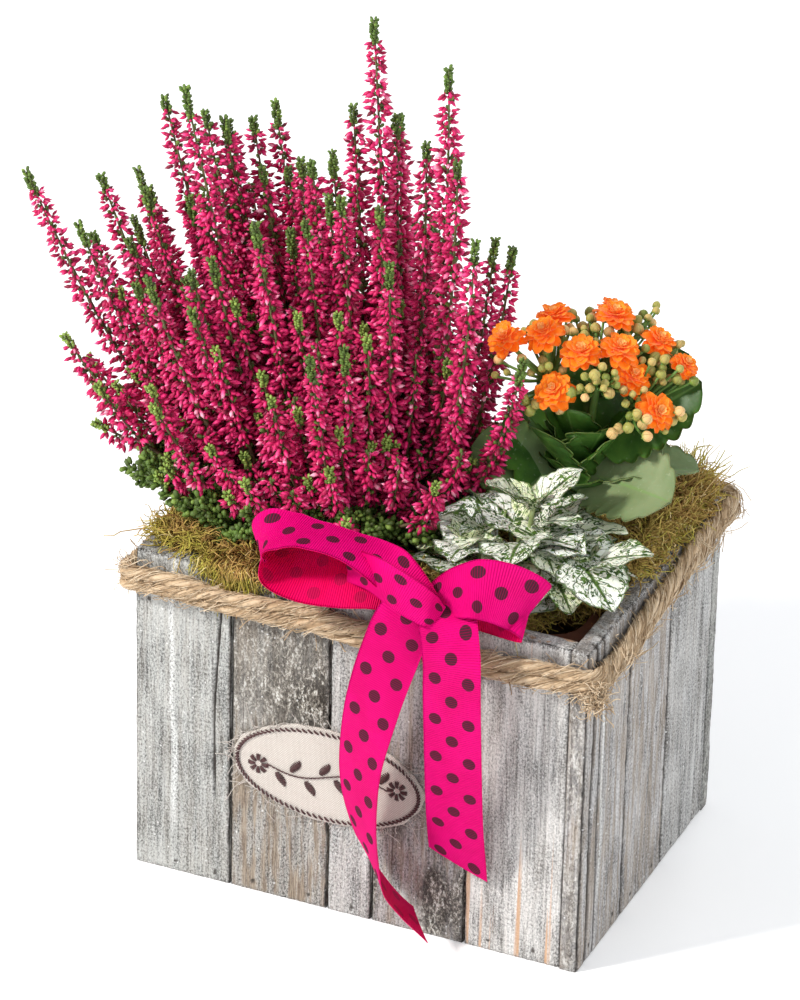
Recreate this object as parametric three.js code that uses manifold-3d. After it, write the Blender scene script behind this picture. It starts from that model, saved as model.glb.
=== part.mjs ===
// Planted window box: a small box of whitewashed boards with a liner tray, soil and moss, a jute
// rope round the rim, a ribbon bow, a stitched oval patch, and three plants: a heather, a double
// flowered kalanchoe and a white-leaved hypoestes.
// Millimetres. +X runs to the right along the front, +Y to the back, +Z up. The origin lies at the
// middle of the underside.

import * as THREE from 'three';
import { mergeVertices } from 'three/addons/utils/BufferGeometryUtils.js';
import Module from 'manifold-3d';

const wasm = await Module();
wasm.setup();

// ---------------------------------------------------------------- driving dimensions

const BOX = { width: 200, depth: 148, height: 150, board: 8, seam: 0.5, chamfer: 0.8 };
const HALF_W = BOX.width / 2;
const HALF_D = BOX.depth / 2;
const INSIDE_W = HALF_W - BOX.board;
const INSIDE_D = HALF_D - BOX.board;

// Each wall overlaps the next one at one corner only, so the four walls run round like a pinwheel.
// The seams are the places where one board ends and the next begins.
const FRONT_SEAMS = [-HALF_W, -56.5, -12.5, 7.5, 49, INSIDE_W];
const SIDE_SEAMS = [-HALF_D, -27, 18, INSIDE_D];
const FRONT_TOPS = [150, 149.3, 150, 149.6, 150];
const SIDE_TOPS = [150, 149.4, 149.8];

const LINER = { half_w: 91.4, half_d: 65.4, rim: 4.4, rim_top: 146, sheet: 1.2, corner: 13 };
const GAP = 0.35;
const SCRAP = 0.1;

const GRID = { step_x: 13.65, step_y: 14, reach_x: 7, reach_y: 5, split: 2 };
const SOIL_FLOOR = BOX.board + LINER.sheet;
const SOIL = { level: 132, rough: 2.4, root_depth: 12 };
// Mounds of the soil over the root balls, and its hollow in one corner: place, rise, and spread.
const MOUNDS = [[-48, 0, 7, 1800], [56, -4, 6, 1100], [74, -50, -15, 420]];
const MOSS = { thin: 2.6, bank: 12, tuft: 5, clear: 34, ease: 24 };

const ROPE = {
  half_thick: 3.2, half_tall: 6.2, strand: 0.16, off: 3.9, bend: 5, level: 138, rise: 8, step: 20,
  sides: 8,
};

const RIBBON = { width: 25, sheet: 0.8, knot: [37, -81.2, 154.6], knot_size: [11, 7.5, 11.5] };

const PATCH = { centre: [-12, 65], half_w: 42.5, half_h: 22, sheet: 1.2 };

const HEATHER = {
  foot: [-46, 2], base_z: 140, height: 230, droop: 0.2, lean: -34, root: 27, crown: 112,
  power: 0.36, ease: 0.01, depth_ratio: 0.85, sprays: 12, disc: 0.86, fan: 0.18, stem: 1.3,
  bud: 6.8, slim: 0.085, row: 14.5, flowering: 0.42, lowest: 0.16, inner: 4, spin: 240, seed: 220,
  reach: 0.72, round_fall: 0.14, side_fall: 0.12, vary: 0.08, leave: 0.22, taper: 0.62,
};
// The turn from one shoot of a spiral to the next, which spreads the shoots evenly.
const GOLDEN_ANGLE = 2.39996;
// The heart of a spray, which its spikes stand out of: thickness from foot to top, in crown widths.
const HEART = [0.05, 0.12, 0.14, 0.13, 0.09, 0.04];
// The spikes round the heart of a spray: turn from the outward direction, and share of the height.
const SPIKES = [[180, 0.9], [105, 0.76], [-105, 0.64], [38, 0.5], [-38, 0.36]];
// Spikes that show at the edge of the crown, each as a place in the crown and its own height.
const LEADERS = [
  [-0.91, -0.1, 0.69], [-0.94, -0.35, 0.39], [-0.66, -0.35, 0.62], [-1.08, -0.45, 0.2],
  [-0.51, -0.1, 0.62], [0.79, 0.1, 0.66], [0.97, -0.2, 0.54], [0.77, -0.25, 0.76],
  [0.54, -1.0, 0.23], [-0.1, -1.0, 0.21], [0.85, -0.68, 0.32], [-0.22, -0.2, 0.84],
  [0.3, 0.12, 0.97], [0.6, -0.05, 1.0], [0.28, 0.37, 0.75], [-0.14, 0.3, 0.73], [-0.25, 0.1, 0.72],
  [-0.72, -0.84, 0.16], [-1.08, -0.1, 0.29],
];

const KALANCHOE = { foot: [60, 12], stem: 3.2, top: 182, heart: [62, 14, 205], pedicel: 0.9 };
// Leaves: compass angle in degrees from +X, height on the stem, length, width, rise angle, roll angle.
const KALANCHOE_LEAVES = [
  [-26, 181, 48, 38, 14, 34], [14, 178, 48, 30, 20, 0], [36, 184, 62, 36, 52, 0],
  [188, 164, 50, 30, 54, 0], [232, 170, 46, 28, 66, 0], [-80, 172, 30, 22, 42, 0],
  [-50, 184, 34, 24, 60, 0], [86, 166, 52, 34, 28, 0], [142, 174, 48, 30, 40, 0],
];
const KALANCHOE_LEAF = { rows: 7, cup: 0.28, sag: 0.16, sheet: 1.4, stalk: 1.6, scallop: [0.92, 1.05] };
// The places where the flower stalks divide.
const KALANCHOE_HUBS = [[46, 8, 222], [64, 16, 222], [80, 18, 212]];
// Blooms: centre of the flower and its radius.
const BLOOMS = [
  [31, -4, 243, 7.5], [45, 2, 246, 7.6], [42, 21, 244, 7.2],
  [61, 4, 240, 7.8], [74, 13, 240, 7.8], [54, -7, 226, 7.6], [61, 38, 243, 7.2],
  [66, 27, 247, 7.4], [80, 12, 229, 7.6], [94, 5, 220, 7.8], [84, 30, 238, 7.0],
  [97, 26, 232, 5.6],
];
const PETALS = { count: 5, notch: 0.22, tuck: 0.06, wave: 0.5 };
// The folds of a double bloom from its foot up: height, reach in radii, and side that it waves to.
const BLOOM_FOLDS = [
  [-2.6, 0.16, 0], [0.1, 1, 1], [0.8, 0.97, 1], [0.5, 0.36, 0],
  [2.4, 0.74, -1], [1.9, 0.26, 0], [3.5, 0.44, 1], [4.1, 0.34, 1],
];

const HYPOESTES = { foot: [52, -32], stem: 1.5 };
// Stems: where each one ends, and how long its lowest leaves are.
const HYPOESTES_STEMS = [[33, -42, 169, 33], [57, -33, 186, 34], [80, -36, 166, 37]];
const HYPOESTES_LEAF = {
  rows: 5, cup: 0.22, sag: 0.26, sheet: 0.8, stalk: 0.8, half: 0.36, wave: [0.95, 1.04],
};

const COLOURS = {
  white_board: '#b9b6b0', mottled_board: '#8f8b82', warm_board: '#c9c2b8', dark_board: '#7d7a75',
  bare_wood: '#a08a6e', tray: '#2b2320', earth: '#3a2a1e', moss: '#8a7d2c', jute: '#b08d5b',
  ribbon: '#f0127e', linen: '#ddd3c0', heather: '#b01c5c', kalanchoe: '#4d7a35',
  bloom: '#f2671c', hypoestes: '#cdd8b4',
};

// ---------------------------------------------------------------- helpers

// A number from 0 to 1 that is always the same for the same pair of indices.
function draw(i, k) {
  const wave = Math.sin(i * 12.9898 + k * 78.233) * 43758.5453;
  return wave - Math.floor(wave);
}

function vec(x, y, z) {
  return new THREE.Vector3(x, y, z);
}

function radians(degrees) {
  return THREE.MathUtils.degToRad(degrees);
}

function smooth(x) {
  const t = THREE.MathUtils.clamp(x, 0, 1);
  return t * t * (3 - 2 * t);
}

function indexed(points, index) {
  const geometry = new THREE.BufferGeometry();
  const flat = points.flatMap((p) => [p.x, p.y, p.z]);
  geometry.setAttribute('position', new THREE.Float32BufferAttribute(flat, 3));
  geometry.setIndex(index);
  return geometry;
}

// Turns every triangle over if the closed surface faces inwards.
function outward(points, index) {
  let volume = 0;
  for (let i = 0; i < index.length; i += 3) {
    const [a, b, c] = [points[index[i]], points[index[i + 1]], points[index[i + 2]]];
    volume += a.dot(b.clone().cross(c));
  }
  if (volume < 0) {
    for (let i = 0; i < index.length; i += 3) {
      [index[i], index[i + 1]] = [index[i + 1], index[i]];
    }
  }
  return indexed(points, index);
}

// Joins a row of rings, all with the same number of points, into one closed surface. The second half
// of each ring of a sheet is its under face, which is split into triangles like the upper face.
function skin(rings, { looped = false, sheet = false } = {}) {
  const n = rings[0].length;
  const index = [];
  const bands = looped ? rings.length : rings.length - 1;
  for (let i = 0; i < bands; i += 1) {
    const next = (i + 1) % rings.length;
    for (let j = 0; j < n; j += 1) {
      const k = (j + 1) % n;
      const [a, b, c, d] = [i * n + j, i * n + k, next * n + k, next * n + j];
      index.push(...(sheet && j >= n / 2 ? [a, b, d, b, c, d] : [a, b, c, a, c, d]));
    }
  }
  if (!looped) {
    const last = (rings.length - 1) * n;
    for (let j = 1; j < n - 1; j += 1) {
      index.push(0, j + 1, j);
      index.push(last, last + j, last + j + 1);
    }
  }
  return outward(rings.flat(), index);
}

function manifold(geometry) {
  const bare = geometry.clone();
  bare.deleteAttribute('normal');
  bare.deleteAttribute('uv');
  const welded = mergeVertices(bare, 1e-4);
  return new wasm.Manifold(new wasm.Mesh({
    numProp: 3,
    vertProperties: Float32Array.from(welded.attributes.position.array),
    triVerts: Uint32Array.from(welded.index.array),
  }));
}

function geometryOf(body) {
  const mesh = body.getMesh();
  const geometry = new THREE.BufferGeometry();
  geometry.setAttribute('position', new THREE.Float32BufferAttribute(mesh.vertProperties, 3));
  geometry.setIndex(Array.from(mesh.triVerts));
  return geometry;
}

// Joins the pieces into one body, and drops any loose scrap that the joining leaves.
function fuse(geometries) {
  let body = manifold(geometries[0]);
  for (const geometry of geometries.slice(1)) {
    body = body.add(manifold(geometry));
  }
  const bodies = body.simplify(SCRAP).decompose();
  return geometryOf(bodies.reduce((a, b) => (a.volume() > b.volume() ? a : b)));
}

// A round section across a path, at one point of it, with a radius for each of its corners.
function sectionAt(centre, tangent, radii, turn) {
  const side = tangent.clone().cross(vec(0.08, 1, 0.05)).normalize();
  const other = side.clone().cross(tangent).normalize();
  return radii.map((radius, j) => {
    const angle = turn + (j * 2 * Math.PI) / radii.length;
    return centre.clone()
      .addScaledVector(side, radius * Math.cos(angle))
      .addScaledVector(other, radius * Math.sin(angle));
  });
}

// A tapering stalk through the points given.
function stalk(points, start, end, sides = 4) {
  const curve = new THREE.CatmullRomCurve3(points);
  const steps = points.length - 1;
  const rings = [];
  for (let i = 0; i <= steps; i += 1) {
    const t = i / steps;
    const radius = THREE.MathUtils.lerp(start, end, t);
    rings.push(sectionAt(curve.getPoint(t), curve.getTangent(t), Array(sides).fill(radius), 0));
  }
  return skin(rings);
}

// A leaf or petal blade: three columns of points on each face, with a half width, a rise and a
// sag for each row. Both faces are split into triangles alike. It grows from the origin along +X.
function blade({ rows, length, halfWidth, cup, sag, sheet }) {
  const upper = [];
  for (let i = 0; i <= rows; i += 1) {
    const t = i / rows;
    const half = halfWidth(t, i);
    const z = -sag * t * t;
    upper.push([vec(length * t, half, z + cup * half), vec(length * t, 0, z)]);
    upper[i].push(vec(length * t, -half, z + cup * half));
  }
  const rings = upper.map((row) => {
    const under = row.map((p) => vec(p.x, p.y, p.z - sheet)).reverse();
    return [...row, ...under];
  });
  return skin(rings, { sheet: true });
}

// Places a blade: at a point, turned to a compass angle, raised, and rolled about its own length.
function placed(geometry, at, compass, rise, roll = 0) {
  geometry.rotateX(radians(roll));
  geometry.rotateY(radians(-rise));
  geometry.rotateZ(radians(compass));
  geometry.translate(at.x, at.y, at.z);
  return geometry;
}

const part = new THREE.Group();

function add(name, geometry, colour, roughness = 0.8, metalness = 0) {
  const material = new THREE.MeshStandardMaterial({ color: colour, roughness, metalness });
  const mesh = new THREE.Mesh(geometry, material);
  mesh.name = name;
  part.add(mesh);
}

// ---------------------------------------------------------------- boards

// One upright board of the front wall, from one seam to the next, with its outer edges eased.
function boardGeometry(from, to, top, outerFace, innerFace) {
  const c = BOX.chamfer;
  const dir = Math.sign(innerFace - outerFace);
  const outline = new THREE.Shape([
    new THREE.Vector2(from + c, outerFace),
    new THREE.Vector2(to - c, outerFace),
    new THREE.Vector2(to, outerFace + c * dir),
    new THREE.Vector2(to, innerFace),
    new THREE.Vector2(from, innerFace),
    new THREE.Vector2(from, outerFace + c * dir),
  ]);
  return new THREE.ExtrudeGeometry(outline, { depth: top, bevelEnabled: false });
}

function addWall(name, seams, tops, halfSpan, quarterTurns) {
  const colours = [
    COLOURS.white_board, COLOURS.mottled_board, COLOURS.white_board, COLOURS.dark_board,
    COLOURS.warm_board,
  ];
  for (let i = 0; i < seams.length - 1; i += 1) {
    const from = seams[i] + (i === 0 ? 0 : BOX.seam / 2);
    const to = seams[i + 1] - (i === seams.length - 2 ? 0 : BOX.seam / 2);
    const geometry = boardGeometry(from, to, tops[i], -halfSpan, -halfSpan + BOX.board);
    geometry.rotateZ((quarterTurns * Math.PI) / 2);
    add(`${name}_board_${i + 1}`, geometry, colours[i], 0.85);
  }
}

function addBox() {
  addWall('front', FRONT_SEAMS, FRONT_TOPS, HALF_D, 0);
  addWall('right', SIDE_SEAMS, SIDE_TOPS, HALF_W, 1);
  addWall('back', FRONT_SEAMS, FRONT_TOPS, HALF_D, 2);
  addWall('left', SIDE_SEAMS, SIDE_TOPS, HALF_W, 3);
  const bottom = new THREE.BoxGeometry(2 * INSIDE_W, 2 * INSIDE_D, BOX.board);
  bottom.translate(0, 0, BOX.board / 2);
  add('bottom_panel', bottom, COLOURS.bare_wood, 0.8);
}

// ---------------------------------------------------------------- liner and soil

function roundedOutline(halfW, halfD, radius) {
  const shape = new THREE.Shape();
  shape.moveTo(-halfW + radius, -halfD);
  shape.lineTo(halfW - radius, -halfD);
  shape.absarc(halfW - radius, -halfD + radius, radius, -Math.PI / 2, 0, false);
  shape.lineTo(halfW, halfD - radius);
  shape.absarc(halfW - radius, halfD - radius, radius, 0, Math.PI / 2, false);
  shape.lineTo(-halfW + radius, halfD);
  shape.absarc(-halfW + radius, halfD - radius, radius, Math.PI / 2, Math.PI, false);
  shape.lineTo(-halfW, -halfD + radius);
  shape.absarc(-halfW + radius, -halfD + radius, radius, Math.PI, 1.5 * Math.PI, false);
  return shape;
}

function roundedSlab(inset, from, to) {
  const outline = roundedOutline(LINER.half_w - inset, LINER.half_d - inset, LINER.corner);
  const options = { depth: to - from, bevelEnabled: false, curveSegments: 2 };
  const slab = new THREE.ExtrudeGeometry(outline, options);
  slab.translate(0, 0, from);
  return slab;
}

function addLiner() {
  const rimFoot = LINER.rim_top - LINER.sheet;
  const wall = manifold(roundedSlab(LINER.rim, BOX.board, LINER.rim_top));
  const rim = manifold(roundedSlab(0, rimFoot, LINER.rim_top));
  const hollow = manifold(roundedSlab(LINER.rim + LINER.sheet, SOIL_FLOOR, LINER.rim_top + 1));
  add('liner_tray', geometryOf(wall.add(rim).subtract(hollow)), COLOURS.tray, 0.45);
}

function soilHeightAt(i, j) {
  const x = i * GRID.step_x;
  const y = j * GRID.step_y;
  const mounds = MOUNDS.reduce((sum, [cx, cy, rise, spread]) => (
    sum + rise * Math.exp(-((x - cx) ** 2 + (y - cy) ** 2) / spread)
  ), 0);
  return SOIL.level + mounds + SOIL.rough * (draw(i + 20, j + 20) - 0.5);
}

// The height of the faceted soil surface at any place.
function soilSurface(x, y) {
  const gx = x / GRID.step_x;
  const gy = y / GRID.step_y;
  const i = Math.floor(gx);
  const j = Math.floor(gy);
  const a = gx - i;
  const b = gy - j;
  const near = soilHeightAt(i, j);
  const far = soilHeightAt(i + 1, j + 1);
  if (a > b) {
    const corner = soilHeightAt(i + 1, j);
    return near + a * (corner - near) + b * (far - corner);
  }
  const corner = soilHeightAt(i, j + 1);
  return near + b * (corner - near) + a * (far - corner);
}

// A closed solid over the cells of a square grid that are kept, between two height functions.
function terrain(cells, stepX, stepY, topAt, bottomAt) {
  const points = [];
  const index = [];
  const seen = new Map();
  const corner = (i, j, level) => {
    const key = `${i},${j},${level}`;
    if (!seen.has(key)) {
      seen.set(key, points.length);
      points.push(vec(i * stepX, j * stepY, level === 1 ? topAt(i, j) : bottomAt(i, j)));
    }
    return seen.get(key);
  };
  const kept = new Set(cells.map(([i, j]) => `${i},${j}`));
  const wall = (i0, j0, i1, j1) => {
    const [a, b] = [corner(i0, j0, 0), corner(i1, j1, 0)];
    const [c, d] = [corner(i1, j1, 1), corner(i0, j0, 1)];
    index.push(a, b, c, a, c, d);
  };
  for (const [i, j] of cells) {
    for (const level of [0, 1]) {
      const a = corner(i, j, level);
      const b = corner(i + 1, j, level);
      const c = corner(i + 1, j + 1, level);
      const d = corner(i, j + 1, level);
      index.push(...(level === 1 ? [a, b, c, a, c, d] : [a, c, b, a, d, c]));
    }
    if (!kept.has(`${i},${j - 1}`)) wall(i, j, i + 1, j);
    if (!kept.has(`${i + 1},${j}`)) wall(i + 1, j, i + 1, j + 1);
    if (!kept.has(`${i},${j + 1}`)) wall(i + 1, j + 1, i, j + 1);
    if (!kept.has(`${i - 1},${j}`)) wall(i, j + 1, i, j);
  }
  return outward(points, index);
}

// Places where a stem stands in the soil, and the radius of the stem there.
const stemFeet = [];

function plant(x, y, radius) {
  stemFeet.push([x, y, radius]);
}

function addSoil() {
  const cells = [];
  for (let i = -GRID.reach_x; i < GRID.reach_x; i += 1) {
    for (let j = -GRID.reach_y; j < GRID.reach_y; j += 1) {
      cells.push([i, j]);
    }
  }
  const block = terrain(cells, GRID.step_x, GRID.step_y, soilHeightAt, () => SOIL_FLOOR - 2);
  const inset = LINER.rim + LINER.sheet + GAP;
  let soil = manifold(block).intersect(manifold(roundedSlab(inset, SOIL_FLOOR, LINER.rim_top)));
  for (const [x, y, radius] of stemFeet) {
    const reach = 1.08 * radius + 1.4 * GAP;
    const hole = new THREE.CylinderGeometry(reach, reach, 60, 4);
    hole.rotateX(Math.PI / 2);
    hole.translate(x, y, soilSurface(x, y) - SOIL.root_depth - GAP + 30);
    soil = soil.subtract(manifold(hole));
  }
  add('soil', geometryOf(soil), COLOURS.earth, 1);
}

// ---------------------------------------------------------------- moss

// How thick the moss lies at a place on its own, finer grid.
function mossTopAt(i, j) {
  const x = (i * GRID.step_x) / GRID.split;
  const y = (j * GRID.step_y) / GRID.split;
  const fromHeather = Math.hypot(x - HEATHER.foot[0], y - HEATHER.foot[1]);
  const edge = Math.max(smooth((Math.abs(x) - 48) / 28), smooth((Math.abs(y) - 28) / 22));
  const bank = edge * smooth((fromHeather - MOSS.clear) / MOSS.ease);
  return soilSurface(x, y) + MOSS.thin + MOSS.bank * bank + MOSS.tuft * draw(i + 60, j + 60);
}

function mossBottomAt(i, j) {
  return soilSurface((i * GRID.step_x) / GRID.split, (j * GRID.step_y) / GRID.split) + GAP;
}

function addMoss(name, wanted) {
  const cells = [];
  const reachX = (GRID.reach_x - 1) * GRID.split;
  const reachY = (GRID.reach_y - 1) * GRID.split;
  for (let i = -reachX; i < reachX; i += 1) {
    for (let j = -reachY; j < reachY; j += 1) {
      const x = ((i + 0.5) * GRID.step_x) / GRID.split;
      const y = ((j + 0.5) * GRID.step_y) / GRID.split;
      const inCorner = Math.abs(x) > 76 && Math.abs(y) > 50;
      if (!inCorner && wanted(x, y)) {
        cells.push([i, j]);
      }
    }
  }
  const stepX = GRID.step_x / GRID.split;
  const stepY = GRID.step_y / GRID.split;
  add(name, terrain(cells, stepX, stepY, mossTopAt, mossBottomAt), COLOURS.moss, 1);
}

function addAllMoss() {
  const heatherDistance = (x, y) => Math.hypot(x - HEATHER.foot[0], y - HEATHER.foot[1]);
  const clearOfHeather = (x, y) => heatherDistance(x, y) > HEATHER.root + 9;
  addMoss('moss_front_left', (x, y) => y < -22 && x < 8 && clearOfHeather(x, y));
  addMoss('moss_front_right', (x, y) => x > 8 && x < 60 && y < -42);
  addMoss('moss_right', (x, y) => x > 68 && y > -28);
  addMoss('moss_back', (x, y) => y > 34 && x < 66 && clearOfHeather(x, y));
}

// ---------------------------------------------------------------- rope

// The level of the rope: flat along the front and left, higher towards the back right corner.
function ropeLevel(x, y) {
  const alongRight = smooth((y + HALF_D) / BOX.depth);
  const alongBack = smooth((x + HALF_W) / BOX.width);
  return ROPE.level + ROPE.rise * Math.min(alongRight, alongBack);
}

function ropeRoute() {
  const w = HALF_W + ROPE.off;
  const d = HALF_D + ROPE.off;
  const r = ROPE.bend;
  const corners = [[w - r, -d + r, -90], [w - r, d - r, 0], [-w + r, d - r, 90], [-w + r, -d + r, 180]];
  const route = [];
  corners.forEach(([cx, cy, start], k) => {
    for (let a = 0; a <= 4; a += 1) {
      const angle = radians(start + a * 22.5);
      route.push([cx + r * Math.cos(angle), cy + r * Math.sin(angle)]);
    }
    const [x0, y0] = route[route.length - 1];
    const [nx, ny, nextStart] = corners[(k + 1) % 4];
    const x1 = nx + r * Math.cos(radians(nextStart));
    const y1 = ny + r * Math.sin(radians(nextStart));
    const steps = Math.round(Math.hypot(x1 - x0, y1 - y0) / ROPE.step);
    for (let i = 1; i < steps; i += 1) {
      route.push([x0 + ((x1 - x0) * i) / steps, y0 + ((y1 - y0) * i) / steps]);
    }
  });
  return route.map(([x, y]) => vec(x, y, ropeLevel(x, y)));
}

// The rope is a flat lay of three loose strands, which wind slowly round each other.
function addRope() {
  const route = ropeRoute();
  const count = route.length;
  const rings = route.map((centre, i) => {
    const ahead = route[(i + 1) % count];
    const behind = route[(i + count - 1) % count];
    const tangent = ahead.clone().sub(behind).normalize();
    const outwards = tangent.clone().cross(vec(0, 0, 1)).normalize();
    const up = outwards.clone().cross(tangent).normalize();
    return Array.from({ length: ROPE.sides }, (_, j) => {
      const angle = (j * 2 * Math.PI) / ROPE.sides;
      const swell = 1 - ROPE.strand * ((i + j) % 2);
      return centre.clone()
        .addScaledVector(outwards, ROPE.half_thick * swell * Math.cos(angle))
        .addScaledVector(up, ROPE.half_tall * swell * Math.sin(angle));
    });
  });
  add('rope_round_rim', skin(rings, { looped: true }), COLOURS.jute, 0.95);
}

// ---------------------------------------------------------------- ribbon

// A flat band through stations of centre, direction across the band, and width. The far end may be
// cut on the slant.
function band(stations, samples, slant = 0) {
  const centres = new THREE.CatmullRomCurve3(stations.map((s) => vec(s[0], s[1], s[2])));
  const across = new THREE.CatmullRomCurve3(stations.map((s) => vec(s[3], s[4], s[5])));
  const widths = new THREE.CatmullRomCurve3(stations.map((s) => vec(s[6], 0, 0)));
  const rings = [];
  for (let i = 0; i <= samples; i += 1) {
    const t = i / samples;
    const centre = centres.getPoint(t);
    const tangent = centres.getTangent(t);
    const side = across.getPoint(t).normalize();
    const face = tangent.clone().cross(side).setLength(RIBBON.sheet / 2);
    const half = widths.getPoint(t).x / 2;
    const skew = i === samples ? slant : 0;
    const right = centre.clone().addScaledVector(side, half).addScaledVector(tangent, skew);
    const left = centre.clone().addScaledVector(side, -half).addScaledVector(tangent, -skew);
    rings.push([
      right.clone().add(face), left.clone().add(face),
      left.clone().sub(face), right.clone().sub(face),
    ]);
  }
  return skin(rings, { sheet: true });
}

const LEFT_TAIL = [
  [35, -85, 164, 0.98, 0.1, -0.2, 19], [28, -90, 158, 0.97, 0.1, -0.25, 24],
  [21, -93.5, 138, 0.96, -0.05, -0.2, 25], [15.4, -96, 115, 0.95, -0.2, -0.2, 25],
  [11.7, -97, 92, 0.91, -0.41, -0.05, 25], [10.7, -96, 75, 0.87, -0.5, 0, 25],
  [11, -93.5, 60, 0.8, -0.6, 0, 25], [13, -91, 46, 0.7, -0.7, 0.05, 25],
  [19, -89, 30, 0.45, -0.88, 0.15, 25], [27, -88.5, 21, 0.35, -0.9, 0.25, 25],
  [36, -88, 14, 0.3, -0.92, 0.25, 24],
];
const RIGHT_TAIL = [
  [40, -84, 164, 1, 0.05, 0, 20], [46, -92, 159, 1, 0.05, 0, 24],
  [50, -97, 147, 1, 0, 0, 25], [51, -98, 130, 1, 0, 0, 25], [51, -95, 100, 1, 0, 0, 25],
  [49.5, -87.5, 67, 1, 0, 0, 25], [48.5, -80, 42, 1, 0, 0, 25],
];
const LEFT_LOOP = [
  [35, -84, 164, -0.14, -0.35, 0.93, 14], [24, -85.5, 172, -0.35, 0.1, 0.85, 17],
  [13, -86.5, 178, -0.55, 0.55, 0.45, 21], [1, -87.5, 182, -0.62, 0.75, 0.12, 24],
  [-12, -88.5, 184, -0.62, 0.78, 0, 25], [-25, -88.5, 183, -0.62, 0.78, 0, 25],
  [-35, -88, 179.5, -0.62, 0.78, 0.03, 25], [-38.5, -87.5, 173.5, -0.6, 0.78, 0.15, 25],
  [-34, -87, 167, -0.56, 0.74, 0.32, 25], [-20, -86.5, 164, -0.5, 0.7, 0.48, 25],
  [-4, -85.5, 165, -0.46, 0.68, 0.55, 25], [9, -84, 166, -0.4, 0.5, 0.72, 22],
  [22, -82, 164, -0.25, 0.2, 0.9, 18], [35, -80, 160, -0.14, -0.35, 0.93, 14],
];
const RIGHT_LOOP = [
  [38, -83.5, 165, -0.3, 0.2, -0.93, 14], [46, -86, 171, -0.32, -0.15, -0.9, 20],
  [57, -87, 176, -0.35, -0.45, -0.8, 24], [67, -84, 174.5, -0.35, -0.59, -0.73, 25],
  [75, -78.5, 168, -0.35, -0.59, -0.73, 25], [74, -76.5, 164.5, -0.35, -0.59, -0.73, 25],
  [63, -77.5, 164.5, -0.35, -0.5, -0.77, 24], [50, -79.5, 162, -0.33, -0.1, -0.9, 18],
  [38, -80, 160, -0.3, 0.2, -0.93, 14],
];

function addRibbon() {
  const knot = new THREE.SphereGeometry(1, 9, 7);
  knot.rotateX(Math.PI / 2);
  knot.scale(...RIBBON.knot_size);
  knot.translate(...RIBBON.knot);
  const bands = [
    band(LEFT_LOOP, 19), band(RIGHT_LOOP, 15), band(RIGHT_TAIL, 10, 6), band(LEFT_TAIL, 15, 6),
  ];
  add('ribbon_bow', fuse([knot, ...bands]), COLOURS.ribbon, 0.6);
}

function addPatch() {
  const oval = new THREE.Shape();
  oval.absellipse(0, 0, PATCH.half_w, PATCH.half_h, 0, 2 * Math.PI, false, 0);
  const options = { depth: PATCH.sheet, bevelEnabled: false, curveSegments: 12 };
  const patch = new THREE.ExtrudeGeometry(oval, options);
  patch.rotateX(Math.PI / 2);
  patch.translate(PATCH.centre[0], -HALF_D - GAP, PATCH.centre[1]);
  add('stitched_patch', patch, COLOURS.linen, 0.9);
}

// ---------------------------------------------------------------- heather

// Half the width of the crown at a height s, which runs from the soil at 0 to the full height at 1.
function crownWidth(s) {
  const { root, crown, power, ease } = HEATHER;
  const low = ease ** power;
  return root + (crown * ((s + ease) ** power - low)) / ((1 + ease) ** power - low);
}

// Every shoot follows the same flow out of the root ball, so that no two of them ever cross: (u, v)
// is its place in the crown.
function heatherPoint(u, v, s) {
  const { foot, base_z: baseZ, height, droop, lean, depth_ratio: depthRatio } = HEATHER;
  const rise = height * (1 - droop * Math.min(1.2, u * u + v * v));
  const width = crownWidth(s);
  return vec(foot[0] + lean * s + u * width, foot[1] + v * width * depthRatio, baseZ + s * rise);
}

function heatherSprays() {
  const sprays = [];
  for (let k = 0; k < HEATHER.sprays; k += 1) {
    const radius = HEATHER.disc * Math.sqrt((k + 0.5) / HEATHER.sprays);
    const angle = k * GOLDEN_ANGLE;
    const [cu, cv] = [radius * Math.cos(angle), radius * Math.sin(angle)];
    const fall = HEATHER.round_fall * radius * radius + HEATHER.side_fall * Math.abs(cv);
    const full = HEATHER.reach - fall;
    const spikes = [{ u: cu, v: cv, reach: full }];
    const turns = k < HEATHER.inner ? SPIKES.slice(0, 3) : SPIKES;
    const spin = HEATHER.spin * (draw(k, HEATHER.seed) - 0.5);
    turns.forEach(([turn, share], m) => {
      const u = cu + HEATHER.fan * Math.cos(angle + radians(turn + spin));
      const v = cv + HEATHER.fan * Math.sin(angle + radians(turn + spin));
      const reach = share * full + HEATHER.vary * (draw(k, m + 9) - 0.5);
      spikes.push({ u, v, reach: Math.max(HEATHER.lowest, reach) });
    });
    sprays.push({ cu, cv, full, spikes });
  }
  const free = sprays.flatMap((spray) => spray.spikes);
  for (const [u, v, reach] of LEADERS) {
    const away = (spike) => Math.hypot(spike.u - u, spike.v - v);
    const nearest = free.reduce((best, spike) => (away(spike) < away(best) ? spike : best));
    Object.assign(nearest, { u, v, reach });
    free.splice(free.indexOf(nearest), 1);
  }
  return sprays;
}

// The middle line of a spike, which leaves the heart of its spray low down.
function spikePoint(spray, spike, s) {
  const away = smooth(s / HEATHER.leave);
  const u = THREE.MathUtils.lerp(spray.cu, spike.u, away);
  const v = THREE.MathUtils.lerp(spray.cv, spike.v, away);
  return heatherPoint(u, v, s);
}

function spikeRadius(share, s) {
  const swell = smooth(share / 0.25);
  const taper = 1 - HEATHER.taper * smooth((share - 0.6) / 0.4);
  return Math.min(HEATHER.bud, HEATHER.slim * crownWidth(s)) * (0.5 + 0.5 * swell) * taper;
}

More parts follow.
